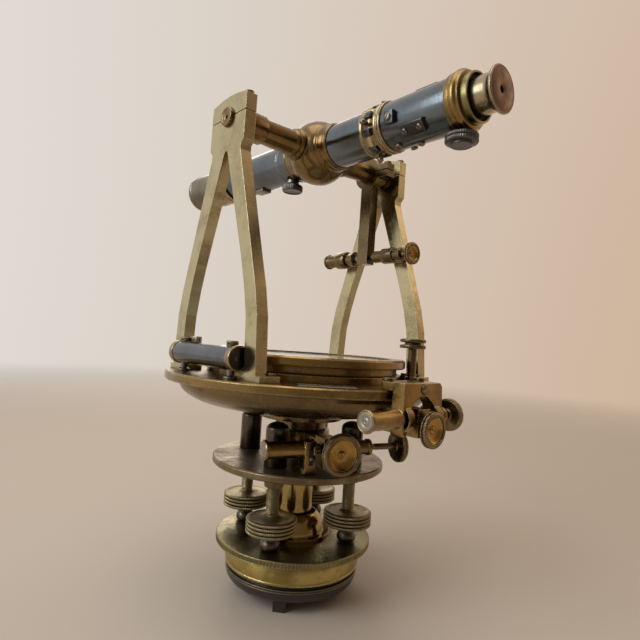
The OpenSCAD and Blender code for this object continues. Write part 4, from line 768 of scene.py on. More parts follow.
def makeBaseDetail():
    f = baseDetail
    r, low, high = f["plateRadius"], f["plateLow"], f["plateHigh"]
    plate = Shape().turned([
        (f["hole"], low), (r - 0.9, low), (r - 0.3, low + 0.3), (r - 0.1, low + 0.75), (r, low + 0.95, True),
        (r, high - 0.95, True), (r - 0.1, high - 0.75), (r - 0.3, high - 0.3), (r - 0.9, high), (f["hole"], high),
    ], Matrix(), f["ridges"] * 2, f["ridgeDepth"])
    plate.piece("lowerPlate", "base", "greenBrass", ["lower_plate"], 24)
    r, bottom = f["skirtRadius"], f["skirtLow"]
    skirt = Shape().turned([
        (f["skirtInside"], low), (f["skirtInside"], bottom), (r - 0.4, bottom), (r, bottom + 0.4), (r, bottom + 1.5),
        (r - 0.25, bottom + 1.7), (r - 0.25, bottom + 2.0), (r, bottom + 2.2), (r, low - 0.7), (r - 0.3, low - 0.3),
        (r - 0.3, low),
    ], segments=192)
    skirt.piece("lowerSkirt", "base", "skirtBrass", sharp=40)
    r = f["wireRadius"]
    wires = Shape()
    for z in f["wires"]:
        wires.turned([(r - 0.4, z - 0.35), (r + 0.05, z - 0.3), (r + 0.15, z - 0.15), (r + 0.05, z + 0.02),
                      (r - 0.4, z + 0.04)], segments=160)
    wires.piece("dishRimWires", "base", "plateBrass")
    lugs = Shape()
    for angle in f["lugAngles"]:
        lugs.block(f["lug"], spun(angle) @ at(f["lugCircle"], 0, -3.2), 0.4)
    lugs.piece("dishLugs", "base", "plateBrass")


dustCap = {"low": 79.02, "high": 106.0, "radius": 7.1, "inside": 5.3}


def makeDustCaps():
    f = dustCap
    r, high = f["radius"], f["high"]
    dome = [(r * math.sin(math.radians(a)), high - 4.6 + 4.6 * math.cos(math.radians(a))) for a in range(84, 0, -7)]
    outline = [(0, high - 2.0), (3.4, high - 2.4), (f["inside"], high - 4.8), (f["inside"], f["low"]),
               (r - 0.15, f["low"]), (r, f["low"] + 0.2), (r, high - 4.6)] + dome + [(0, high)]
    caps = Shape()
    for k in range(4):
        angle = math.radians(levelling["firstAngle"] + 90 * k)
        foot = (levelling["circle"] * math.cos(angle), levelling["circle"] * math.sin(angle), 0)
        caps.turned(outline, Matrix.Translation(foot), 64)
    caps.piece("dustCaps", "head", "capBlack", ["dust_caps"], 40)


makeLevellingScrews()
makeBaseDetail()
makeDustCaps()
print("levelling screws, shoes and base made")


# clamp and tangent knobs: two milled beads round a dished face with a centre boss
lowTurn = spun(-17)
lowTangent = lowTurn @ at(0, -44, 93.0)
upTangent, sideTangent = (0, -96, 119.2), (54.1, 0, 222.4)
knobs = [
    dict(name="lowerClampKnob", node="lower_clamp_screw", body="low_clamp_screw", radius=12.2, back=58.0, face=64.0,
         stem=(2.5, 16.0), place=lowTurn @ along((0, 0, 93.0), (0, -1, 0))),
    dict(name="lowerTangentKnob", node="lower_tangent_knob", body="low_knob", radius=10.3, back=47.0, face=52.0,
         stem=None, place=lowTangent @ along((0, 0, 0), (1, 0, 0))),
    dict(name="upperClampKnob", node="upper_clamp_screw", body="up_clamp_screw", radius=9.7, back=7.0, face=13.0,
         stem=(2.5, -12.0), place=along((0, -96, 114.2), (0, -1, 0))),
    dict(name="upperTangentKnob", node="upper_tangent_knob", body="up_knob", radius=9.4, back=27.0, face=32.0,
         stem=None, place=along(upTangent, (1, 0, 0))),
    dict(name="sideTangentKnob", node="side_tangent_knob", body="side_knob", radius=7.8, back=41.0, face=46.0,
         stem=None, place=along(sideTangent, (0, -1, 0))),
]


def makeKnobs():
    for f in knobs:
        r, back, deep = f["radius"], f["back"], (f["face"] - f["back"]) / 6
        rim = [(5.6, 1.5), (r - 1.3, 1.7), (r - 1.0, 2.0), (r - 0.3, 2.15, True), (r, 2.5, True), (r, 3.0, True),
               (r - 0.3, 3.3, True), (r - 1.0, 3.45), (r - 1.0, 3.65), (r - 0.3, 3.8, True), (r, 4.15, True),
               (r, 5.2, True), (r - 0.3, 5.55, True), (r - 0.9, 5.75), (r - 1.1, 6.0), (r * 0.79, 6.0),
               (r * 0.765, 5.8), (r * 0.76, 2.4), (0, 2.4)]
        dish = [(0, 2.45), (r * 0.75, 2.45), (r * 0.75, 5.2), (r * 0.69, 4.4), (r * 0.60, 3.8), (r * 0.48, 3.35),
                (r * 0.36, 3.2), (2.3, 3.3), (2.1, 3.8), (1.6, 4.4), (1.0, 4.5), (0.6, 4.1), (0, 3.9)]
        front = placed(rim, back, deep)
        if f["stem"]:
            stem, start = f["stem"]
            profile = [(0, start), (stem - 0.3, start), (stem, start + 0.3), (stem, back), (3.6, back),
                       (3.9, back + 0.3), (3.9, back + 1.0)] + front
        else:
            profile = [(0, back), (3.2, back), (3.5, back + 0.3), (3.5, back + 0.9)] + front
        Shape().turned(profile, f["place"], 116, 0.28).piece(f["name"], f["body"], "knobBrass", [f["node"]], 24)
        hollow = Shape().turned(placed(dish, back, deep), f["place"], 72)
        hollow.piece(f["name"] + "Dish", f["body"], "dishBrass", sharp=50)


# tangent screws' stems, plain with a narrow neck groove near where they leave the barrel
tangentStems = [
    dict(name="lowerTangentScrew", node="lower_tangent_screw", body="low_tangent", start=5.3, end=50.0, bare=29.0,
         place=lowTangent @ along((0, 0, 0), (1, 0, 0))),
    dict(name="upperTangentScrew", node="upper_tangent_screw", body="up_tangent", start=5.3, end=30.0, bare=23.0,
         place=along(upTangent, (1, 0, 0))),
    dict(name="sideTangentScrew", node="side_tangent_screw", body="side_tangent", start=5.3, end=44.0, bare=36.0,
         place=along(sideTangent, (0, -1, 0))),
]


def makeTangentStems():
    for f in tangentStems:
        start, end, bare = f["start"], f["end"], f["bare"]
        stem = Shape().turned([(0, start), (1.1, start), (1.5, start + 0.6), (1.95, start + 0.9), (1.95, bare + 1.2),
                               (1.75, bare + 1.6), (1.75, bare + 3.2), (1.95, bare + 3.6), (1.95, end - 0.4),
                               (0, end - 0.3)], f["place"], 40)
        stem.piece(f["name"], f["body"], "knobBrass", [f["node"]])


# spring boxes and barrels on their brackets; heights run away from the clamped arm
springBox = {"start": 10.0, "length": 31.0, "radius": 5.0, "flange": 5.9, "bore": 3.15}
barrel = {"start": 10.0, "radius": 4.4, "bore": 2.15}


def addSpringBox(shape, place):
    f = springBox
    a, b, r, flange, bore = f["start"], f["start"] + f["length"], f["radius"], f["flange"], f["bore"]
    shape.turned([
        (0, a + 22.5), (bore, a + 22.5), (bore, a), (flange - 0.3, a), (flange, a + 0.3), (flange, a + 1.3),
        (flange - 0.3, a + 1.6), (r + 0.1, a + 1.7), (r, a + 2.0), (r, b - 2.6), (r + 0.15, b - 2.2),
        (flange - 0.35, b - 1.9), (flange, b - 1.5), (flange, b - 0.4), (flange - 0.35, b), (flange - 0.9, b),
        (flange - 1.1, b - 0.25), (0, b - 0.3),
    ], place, 72)


def addBarrel(shape, place, length):
    f = barrel
    a, b, r, bore = f["start"], f["start"] + length, f["radius"], f["bore"]
    shape.turned([(bore, a), (r, a), (r, b - 3.4), (r - 0.25, b - 3.0), (r + 0.5, b - 2.5), (r + 0.6, b - 2.1),
                  (r + 0.6, b - 0.7), (r + 0.1, b - 0.2), (bore + 0.6, b), (bore, b)], place, 64)


def addEndFace(shape, place):
    # the bright plug in a spring box's far end, with a turned centre
    r, b = springBox["flange"] - 1.15, springBox["start"] + springBox["length"]
    shape.turned([(0, b - 0.5), (r, b - 0.5), (r, b - 0.1), (r - 0.5, b - 0.02), (2.5, b - 0.1), (2.1, b - 0.3),
                  (1.7, b - 0.1), (0.8, b - 0.1), (0.5, b - 0.35), (0, b - 0.4)], place, 56)


def arch(halfWidth, middle, rise, steps=18):
    return [(halfWidth * math.cos(math.pi * i / steps), middle + rise * math.sin(math.pi * i / steps))
            for i in range(steps + 1)]


def makeUpperBracket():
    towardsBox, towardsKnob = along(upTangent, (-1, 0, 0)), along(upTangent, (1, 0, 0))
    upright = at(0, -92.2, 0) @ spun(90, "X")
    outline = [(-13.0, 110.4), (-16.0, 110.2), (-17.2, 111.6), (-17.8, 115.0), (-17.6, 119.0), (-17.0, 125.0),
               (-16.6, 131.0), (-16.6, 138.0), (14.8, 138.0), (16.8, 135.8), (17.0, 128.0), (16.6, 119.0),
               (16.0, 113.0), (15.0, 110.8), (13.0, 110.4)] + arch(11.6, 118.0, 13.6)
    shape = Shape().sheet(outline, 7.8, upright, 0.6)
    shape.sheet([(-16.6, -93.0), (16.8, -93.0), (16.8, -84.8), (15.4, -83.3), (-15.4, -83.3), (-16.6, -84.8)],
                4.9, at(0, 0, 133.05), 0.5)
    addSpringBox(shape, towardsBox)
    addBarrel(shape, towardsKnob, 13)
    for place in (towardsBox, towardsKnob):
        shape.turned([(6.6, 10.2), (7.2, 10.8), (7.2, 14.6), (6.6, 15.2)], place, 48)
    shape.piece("upperBracket", "alidade", "bronzedBrass", ["upper_bracket"], 30)
    face = Shape()
    addEndFace(face, towardsBox)
    face.piece("upperBoxFace", "alidade", "steel")
    screw = Shape().turned([(0, 0), (3.1, 0), (3.1, 0.5), (2.6, 1.0), (1.3, 1.2), (0, 1.25)],
                           along((0.8, -99.9, 134.6), (0, -1, 0)), 32)
    screw.block((5.6, 0.5, 0.3), along((0.8, -101.16, 134.6), (0, -1, 0), 25), 0.1)
    screw.piece("bracketScrew", "alidade", "knobBrass")


def makeLowerTangentBlock():
    towardsBox, towardsKnob = lowTangent @ along((0, 0, 0), (-1, 0, 0)), lowTangent @ along((0, 0, 0), (1, 0, 0))
    shape = Shape()
    for side in (-1, 1):
        shape.block((7, 10.8, 19.1), lowTangent @ at(side * 13.5, 0, -4.45), 0.5)
        shape.block((9, 10.6, 3.0), lowTangent @ at(side * 13.5, 0.2, -12.5), 0.4)
    addSpringBox(shape, towardsBox)
    addBarrel(shape, towardsKnob, 19)
    shape.piece("lowerTangentBlock", "head", "bronzedBrass", ["lower_tangent_block"], 30)
    # a dark sheet in the block's slot: painted shade
    slot = lowTangent @ at(-13.2, -5.36, -4.4) @ spun(90, "X")
    slotShadeSheet = Shape().sheet([(-1.3, -4.2), (1.3, -4.2), (1.3, 4.6), (-1.3, 4.6)], 0.3, slot, 0)
    slotShadeSheet.piece("lowerBlockSlotShade", "head", "inkAndHoleShade")
    face = Shape()
    addEndFace(face, towardsBox)
    face.turned([(0, 0), (1.1, 0), (1.1, 0.5), (0.8, 0.8), (0, 0.85)],
                lowTangent @ along((-13.2, -5.4, -4.8), (0, -1, 0)), 24)
    face.piece("lowerBoxFace", "head", "steel")


# each ring is a place along the box, then the radius of its bore, shoulder and rim
sideLegs = {"block": (11.4, 9.6, 7.6), "rings": ((-23.8, 4.5, 5.6, 5.8), (23.8, 5.2, 6.4, 6.6))}


def makeSideTangentBlock():
    towardsBox, towardsKnob = along(sideTangent, (0, 1, 0)), along(sideTangent, (0, -1, 0))
    x, _, z = sideTangent
    shape = Shape()
    addSpringBox(shape, towardsBox)
    addBarrel(shape, towardsKnob, 26)
    for y, bore, shoulder, rim in sideLegs["rings"]:
        shape.block(sideLegs["block"], at(x + 5.8, y, z), 0.6)
        shape.turned([(bore, -5.2), (shoulder, -5.0), (rim, -4.6), (rim, 4.6), (shoulder, 5.0), (bore, 5.2)],
                     along((x, y, z), (0, 1, 0)), 56)
    shape.piece("sideTangentBlock", "alidade", "knobBrass", ["side_tangent_block"], 30)
    face = Shape()
    addEndFace(face, towardsBox)
    face.piece("sideBoxFace", "alidade", "steel")


makeKnobs()
makeTangentStems()
makeUpperBracket()
makeLowerTangentBlock()
makeSideTangentBlock()
print("clamps, tangent screws and bracket made")


# the telescope: dark shells between brass rings, profiles as radius and distance along the tube
telescope = {
    "frontShell": [(11.5, -71.0), (13.95, -71.0), (13.95, 26.0), (14.12, 29.6), (13.96, 29.75), (13.96, 30.0),
                   (14.14, 30.15), (14.16, 31.3), (14.0, 31.45), (14.0, 31.7), (14.18, 31.85), (14.24, 49.8),
                   (14.38, 75.0), (14.5, 97.6), (14.6, 98.0), (14.55, 100.0), (13.6, 100.0), (12.7, 98.0),
                   (12.7, 48.6), (11.5, 47.5)],
    "eyeShell": [(12.6, -112.4), (14.5, -112.4), (14.25, -69.3), (14.18, -68.5), (13.97, -68.5), (13.97, -70.1),
                 (12.6, -72.3)],
    "adjustSleeve": [(13.98, -68.5), (14.7, -68.5), (15.2, -68.1), (15.3, -67.4), (15.2, -66.4), (14.7, -65.9),
                     (14.6, -65.5), (15.0, -65.0), (15.2, -64.2), (15.0, -63.2), (14.5, -62.7), (14.3, -62.1),
                     (14.1, -62.0), (14.05, -61.1), (14.05, -55.1), (14.4, -54.5), (14.9, -54.3), (15.15, -53.7),
                     (15.15, -52.4), (14.8, -51.8), (14.2, -51.4), (13.98, -51.4)],
    "endRing": [(13.5, -111.7), (15.1, -111.7), (15.6, -112.0), (15.75, -112.5), (15.75, -114.7), (15.45, -115.0),
                (15.45, -115.3), (16.1, -115.7), (16.3, -116.4), (16.3, -117.3), (16.0, -118.1), (15.3, -118.6),
                (15.1, -118.9), (14.9, -119.7), (14.2, -120.1), (12.0, -120.1), (12.0, -113.0)],
    "darkRing": [(10.05, -119.0), (13.0, -119.4), (13.25, -119.9), (13.3, -123.6), (13.1, -124.1), (12.7, -124.3),
                 (12.2, -124.2), (12.0, -123.9), (11.9, -121.6), (10.05, -121.4)],
    # a black ring on the floor of the eye end's recess: painted shade
    "eyeRecessShade": [(10.0, -121.5), (11.85, -121.7), (11.85, -121.9), (10.0, -121.7)],
    "eyeTube": [(7.9, -100.0), (9.9, -100.0), (9.9, -130.6), (9.98, -131.7), (10.3, -132.8), (10.9, -133.7),
                (11.5, -134.4), (11.8, -134.7), (12.1, -135.2), (12.1, -136.0), (11.8, -136.25), (7.9, -136.1)],
    "eyeFace": [(2.0, -135.5), (11.65, -135.5), (11.65, -136.45), (11.3, -136.5), (11.05, -136.3), (10.8, -136.5),
                (3.0, -136.5), (2.4, -136.3), (2.0, -135.9)],
    "slideTube": [(11.1, 14.0), (11.1, 62.4), (12.5, 62.4), (12.5, 103.0), (10.2, 103.0), (10.2, 14.0)],
    "objectiveRing": [(12.4, 103.0), (15.2, 103.0), (15.6, 103.3), (15.7, 103.8), (15.7, 106.0), (15.3, 106.4),
                      (14.95, 106.5), (14.95, 108.1), (15.3, 108.3), (15.65, 108.8), (15.65, 111.4), (15.2, 112.0),
                      (15.2, 112.5), (15.65, 113.0), (15.65, 116.6), (15.2, 117.2), (15.2, 117.7), (15.65, 118.2),
                      (15.65, 122.0), (15.0, 122.6), (15.0, 124.8), (15.6, 125.2), (15.7, 129.5), (15.4, 130.0),
                      (13.95, 130.0), (13.95, 138.0), (13.0, 138.0), (12.95, 125.0), (11.6, 124.8), (11.6, 111.5)],
    "sunshade": [(14.15, 130.4), (15.2, 130.4), (15.25, 158.4), (15.45, 158.9), (15.75, 159.2), (15.8, 160.0),
                 (15.8, 161.4), (15.6, 162.0), (14.3, 162.0), (14.1, 161.7), (14.1, 131.0)],
    "lensRadius": 12.85,
}


def makeTelescope():
    f = telescope
    shells = Shape().turned(f["frontShell"], axisY, 112).turned(f["eyeShell"], axisY, 112)
    shells.piece("telescopeShells", "telescope", "gunmetal", ["telescope_tube"], 22)
    Shape().turned(f["adjustSleeve"], axisY, 112).piece("adjustSleeve", "telescope", "tubeBrass", sharp=40)
    Shape().turned(f["endRing"], axisY, 112).piece("eyeEndRing", "telescope", "bronzedBrass", sharp=40)
    Shape().turned(f["darkRing"], axisY, 96).piece("eyeEndCup", "telescope", "greenBrass", sharp=40)
    # painted shade on the floor of the eye end's recess
    Shape().turned(f["eyeRecessShade"], axisY, 96).piece("eyeEndRecessShade", "telescope", "inkAndHoleShade")
    Shape().turned(f["eyeTube"], axisY, 96).piece("eyeTube", "eyepiece", "eyeBrass", ["eyepiece_slide"], 40)
    Shape().turned(f["eyeFace"], axisY, 96).piece("eyeFace", "eyepiece", "eyeFace", sharp=40)
    grooves = Shape().turned(f["slideTube"], axisY, 64)
    grooves.turned(f["objectiveRing"], axisY, 112)
    grooves.piece("objectiveRing", "objective", "tubeBrass", ["objective_slide"], 30)
    Shape().turned(f["sunshade"], axisY, 112).piece("sunshadeTube", "objective", "shadeMetal", ["sunshade"], 30)
    r = f["lensRadius"]
    bulge = [(r * i / 12, 128.9 - 1.7 * (i / 12) ** 2) for i in range(13)]
    back = [(r * i / 6, 125.2 + 0.6 * (i / 6) ** 2) for i in range(6, -1, -1)]
    Shape().turned(bulge + back, axisY, 72).piece("objectiveLens", "objective", "lens", ["objective_lens"], 40)


axleTip = [(0, -73.0), (1.1, -73.2), (1.25, -74.2), (2.0, -74.3), (2.3, -74.6), (4.1, -74.6), (4.4, -75.0),
           (5.4, -75.0), (5.8, -74.5), (5.8, -65.5)]
axleDetail = {
    "half": axleTip + [(7.7, -65.4), (8.0, -65.0), (8.0, -59.2), (7.7, -58.6),
             (7.2, -58.3), (6.9, -58.0), (6.9, -50.0), (7.1, -45.0), (8.3, -26.0), (8.9, -25.4), (9.4, -24.7),
             (9.5, -23.9), (9.2, -23.3), (9.0, -23.0), (9.6, -22.6), (10.4, -21.9), (10.6, -21.2), (10.4, -20.6),
             (10.2, -20.2), (10.2, -18.93)],
    # on the left the shoulder runs on past the standard
    "leftEnd": axleTip + [(8.6, -65.4), (9.0, -65.0), (9.0, -49.6), (8.7, -49.0),
                (8.0, -48.7), (7.7, -48.3)],
    "ball": 21.5,
    "collar": [(14.02, 12.8), (16.3, 12.9), (16.8, 13.4), (16.7, 14.4), (16.1, 15.0), (15.8, 15.4), (15.8, 16.2),
               (15.6, 17.6), (15.3, 18.8), (15.1, 19.4), (15.4, 19.9), (15.5, 20.6), (15.2, 21.4), (14.8, 21.9),
               (14.6, 22.3), (14.02, 22.4)],
}


def makeAxle():
    f = axleDetail
    whole = f["leftEnd"] + [point for point in f["half"] if point[1] > -30]
    r = f["ball"]
    steps = 32
    edge = math.asin(f["half"][-1][0] / r)
    for i in range(1, steps):
        t = edge + (math.pi - 2 * edge) * i / steps
        whole.append((r * math.sin(t), -r * math.cos(t)))
    whole += placed(reversed(f["half"]), 0, -1)
    axle = Shape().turned(whole, axisX, 96)
    axle.piece("telescopeAxle", "telescope", "axleBrass", ["telescope_axle"], 34)
    collars = Shape().turned(f["collar"], axisY, 112)
    collars.turned(f["collar"], along((0, 0, axisZ), (0, -1, 0)), 112)
    collars.piece("axleCollars", "telescope", "axleBrass", sharp=40)


# capstan screws and guide blocks round the eye end
eyeFittings = {
    "screwRing": -58.25, "ballOut": 17.0, "ball": 1.95,
    "padTurns": (-22, 22), "pad": (4.6, 4.8, 1.5),
    "guideY": -90.6, "guideTurns": (-43.6, 98.0, -163.6), "guide": (7.6, 15.0, 2.6), "guideScrews": (5.0, -5.0),
    "squareY": -76.7, "squareTurn": -97.4, "square": (7.5, 6.2, 3.0),
    "looseScrews": ((-168, -74.8), (175.7, -87.7), (150, -78.0), (60, -74.8)),  # turn, distance along the tube
    "ring": [(7.0, -60.3), (10.4, -60.3), (10.4, -48.7), (7.0, -48.7)],
}


def ballProfile(r, height, steps=12):
    return [(r * math.sin(math.pi * i / steps) if 0 < i < steps else 0, height - r * math.cos(math.pi * i / steps))
            for i in range(steps + 1)]


def addCapstan(shape, place, foot, ball, r):
    # a shank, a collar and a ball head
    neck = ball - r * 0.6
    shape.turned([(0, foot), (1.3, foot), (1.3, ball - r * 0.7), (1.05, neck), (0, neck)], place, 20)
    shape.turned(ballProfile(r, ball), place, 28)


def addSlotted(heads, slotShades, place, r, face, heights, slot, turn, segments):
    # a screw head from its foot over its rim to its top, with a dark block across as painted shade in its slot
    foot, rim, top = heights
    heads.turned([(0, foot), (r, foot), (r, rim), (face, top - 0.1), (0, top)], place, segments)
    slotShades.block(slot + (0.3,), place @ at(0, 0, top - 0.1) @ spun(turn), 0.08)


def aroundTube(y, turn):
    return at(0, y, axisZ) @ spun(turn, "Y")


def makeEyeFittings():
    f = eyeFittings
    screws, pads, holeShades = Shape(), Shape(), Shape()
    reach = f["ball"] + 0.03
    for a in (0, 90, 180, 270):
        place = aroundTube(f["screwRing"], a)
        addCapstan(screws, place, 14.0, f["ballOut"] + 0.4, f["ball"])
        # a dark rod through each ball: painted shade in its cross hole
        holeShades.turned([(0, -reach), (0.5, -reach), (0.5, reach), (0, reach)],
                     place @ along((0, 0, f["ballOut"] + 0.5), (1, 0.35, 0)), 16)
        for turn in f["padTurns"]:
            pads.block(f["pad"], place @ spun(turn, "Y") @ at(0, 0, 14.5), 0.35)
    ring = Shape().turned(f["ring"], axisY, 48)
    ring.piece("reticleRing", "telescope", "blackened", ["reticle_mount"])
    for n, turn in enumerate(f["guideTurns"]):
        spot = aroundTube(f["guideY"], turn) @ at(-15.4, 0, 0) @ spun(-90, "Y")
        pads.block(f["guide"], spot @ at(0, 0, -0.1), 0.45)
        for y in f["guideScrews"]:
            addSlotted(screws, holeShades, spot @ at(0, y, 0), 1.7, 1.3, (1.0, 1.7, 2.2), (3.0, 0.45), 30 + 50 * n, 24)
    square = aroundTube(f["squareY"], f["squareTurn"])
    pads.block(f["square"], square @ at(0, 0, 15.3), 0.4)
    addSlotted(screws, holeShades, square, 2.1, 1.5, (16.5, 17.5, 18.1), (3.4, 0.5), -35, 28)
    for a, y in f["looseScrews"]:
        addSlotted(screws, holeShades, aroundTube(y, a), 2.1, 1.5, (13.8, 15.3, 15.9), (3.4, 0.5), a, 28)
    screws.piece("capstanScrews", "telescope", "shadeMetal")
    pads.piece("eyeEndBlocks", "telescope", "blackened")
    # painted shade in the screws' slots and holes
    holeShades.piece("eyeEndSlotShades", "telescope", "inkAndHoleShade")


pinions = {
    "focusY": 27.0, "focusDrop": 16.4, "focusRadius": 7.5, "eyeY": -114.5, "eyeDrop": 14.0, "eyeRadius": 8.8,
    "rack": (8.4, 13.0, 2.6), "rackY": 66.0, "rackDrop": 14.5,
}


def makePinions():
    f = pinions
    r = f["focusRadius"]
    place = along((0, f["focusY"], axisZ - f["focusDrop"]), (0, 0, 1))
    knob = Shape().turned([(0, -4.9), (1.2, -4.9), (2.2, -5.1), (r - 2.2, -5.1), (r - 1.4, -5.6), (r - 0.6, -5.6),
                           (r - 0.15, -5.2, True), (r, -4.4, True), (r, -1.9, True), (r - 0.2, -1.2, True),
                           (r - 0.8, -0.8), (4.0, -0.6), (2.4, -0.3), (2.4, 4.2), (0, 4.2)], place, 84, 0.25)
    knob.piece("focusKnob", "focus", "blackened", ["focus_pinion"])
    r = f["eyeRadius"]
    knob = Shape().turned([(0, -9.2), (4.9, -9.4), (5.6, -9.4), (6.0, -9.0), (6.0, -8.1), (r - 1.2, -7.9),
                           (r - 0.3, -7.7, True), (r, -7.2, True), (r, -6.1, True), (r - 0.3, -5.7, True),
                           (r - 0.8, -5.5), (r - 0.3, -5.3, True), (r, -4.9, True), (r, -3.9, True),
                           (r - 0.3, -3.4, True), (r - 1.0, -3.1), (4.2, -3.0), (2.4, -2.6), (2.4, 3.6), (0, 3.6)],
                          along((0, f["eyeY"], axisZ - f["eyeDrop"]), (0, 0, 1)), 96, 0.25)
    knob.piece("eyeKnob", "eye_pinion", "blackened", ["eyepiece_pinion"])
    cover = Shape().block(f["rack"], at(0, f["rackY"], axisZ - f["rackDrop"]), 0.5)
    cover.turned([(4.0, 0.4), (4.6, 0.2), (4.6, 2.6), (4.0, 3.0)], place, 40)
    cover.piece("rackCover", "telescope", "shadeMetal")


makeTelescope()
makeAxle()
makeEyeFittings()
makePinions()
print("telescope made")


# plate level: end rings, dark end discs, vial with bubble, adjusting nuts and studs
plateLevel = {"x": -75.4, "z": 144.5, "half": 35.0, "radius": 6.8, "slotHalf": 20.0, "slotWidth": 6.4, "vial": 4.6,
              "bubble": 8.0, "postY": 27.0}


footZ = 133.0  # mm, where the level's posts and the lifter's stand


def addCrossHoles(shape, place, r, reach):
    # two pin holes across a nut, drawn as dark rods of painted shade
    for a in (20, 110):
        way = (math.cos(math.radians(a)), math.sin(math.radians(a)), 0)
        shape.turned([(0, -reach), (r, -reach), (r, reach), (0, reach)], place @ along((0, 0, 0), way), 14)


def makePlateLevel():
    f = plateLevel
    across = at(f["x"], 0, f["z"])
    axis = across @ along((0, 0, 0), (0, 1, 0))
    half = f["half"]
    rings, discs, tube = Shape(), Shape(), Shape()
    for turn in (0, 180):
        end = axis @ spun(turn, "X")
        rings.turned([(6.0, half - 4.2), (7.1, half - 4.1), (7.3, half - 3.7), (7.3, half - 0.7), (7.1, half - 0.1),
                      (6.7, half), (6.3, half - 0.1), (6.1, half - 0.4), (6.0, half - 1.9)], end, 72)
        discs.turned([(0, half - 1.6), (1.1, half - 1.6), (1.3, half - 1.9), (5.4, half - 1.9), (6.05, half - 1.7),
                      (6.05, half - 3.0), (0, half - 3.0)], end, 56)
        tube.turned([(f["radius"] - 1, f["slotHalf"]), (f["radius"], f["slotHalf"]), (f["radius"], half - 3.9),
                     (f["radius"] - 1, half - 3.9)], end, 72)
    edge = math.asin(f["slotWidth"] / 2 / f["radius"])
    sweep = [math.pi / 2 + edge + (math.tau - 2 * edge) * i / 60 for i in range(61)]
    section = [(r * math.cos(a), r * math.sin(a)) for r, angles in
               ((f["radius"], sweep), (f["radius"] - 1, sweep[::-1])) for a in angles]
    tube.sheet(section, 2 * f["slotHalf"],
               across @ at(0, f["slotHalf"], 0) @ spun(90, "X"), 0)
    tube.piece("levelTube", "alidade", "gunmetal", ["plate_level_tube"], 30)
    rings.piece("levelEndRings", "alidade", "tubeBrass", sharp=40)
    discs.piece("levelEndDiscs", "alidade", "blackened", sharp=40)
    r = f["vial"]
    vial = [(0, -f["slotHalf"] - 9), (r - 1.5, -f["slotHalf"] - 8.6), (r, -f["slotHalf"] - 6.5),
            (r, f["slotHalf"] + 6.5), (r - 1.5, f["slotHalf"] + 8.6), (0, f["slotHalf"] + 9)]
    Shape().turned(vial, axis, 40).piece("levelVial", "alidade", "spirit", ["plate_level_vial"], 40)
    lines, bubble = Shape(), Shape()
    for y in (-11, -9, 9, 11):
        lines.turned([(r + 0.02, y - 0.14), (r + 0.06, y - 0.14), (r + 0.06, y + 0.14), (r + 0.02, y + 0.14)],
                     axis, 40)
    lines.piece("vialLines", "alidade", "inkAndHoleShade")
    bends = [math.pi * i / 10 for i in range(1, 10)]
    swell = [(0, -f["bubble"])] + [(2.1 * math.sqrt(math.sin(a)), -f["bubble"] * math.cos(a)) for a in bends]
    swell += [(0, f["bubble"])]
    bubble.turned(swell, across @ at(0, 0, r - 1.85) @ along((0, 0, 0), (0, 1, 0)), 28)
    bubble.piece("vialBubble", "alidade", "bubbleGlass")
    nuts, holeShades = Shape(), Shape()
    for y in (-f["postY"], f["postY"]):
        spot = at(f["x"], y, f["z"] + f["radius"] - 0.5)
        nuts.turned([(0, -0.4), (3.1, -0.4), (3.3, 0.2), (3.3, 2.6), (2.9, 3.1), (1.4, 3.2), (1.2, 3.0), (0, 3.0)],
                    spot, 40)
        addCrossHoles(holeShades, spot @ at(0, 0, 1.5), 0.62, 3.36)
        nuts.turned([(0, 0), (3.9, 0), (3.9, 1.2), (3.3, 1.7), (2.2, 2.2), (2.2, 5.4), (0, 5.4)],
                    at(f["x"], y, footZ), 40)
    spot = at(f["x"] + 4.4, 22.0, 151.0)
    nuts.block((4.8, 4.8, 4.4), spot @ spun(20) @ at(0, 0, 1.6), 0.5)
    nuts.turned([(0, -4.2), (1.2, -4.2), (1.2, 0), (0, 0)], spot, 20)
    addCrossHoles(holeShades, spot @ at(0, 0, 1.6), 0.7, 2.44)
    nuts.piece("levelNuts", "alidade", "shadeMetal", ["plate_level_posts"])
    # painted shade in the nuts' pin holes
    holeShades.piece("levelNutHoleShades", "alidade", "inkAndHoleShade")


# compass: graduated ring, figures, needle and the milled lifter
compass = {
    "dialTop": 139.5, "inner": 51.2, "outer": 56.2, "figures": 54.85, "figureSize": 2.3, "floor": 135.5,
    "needleTurn": 34.0, "needleHalf": 48.6, "needleZ": 139.55, "lifter": (48.445, -53.804),
}


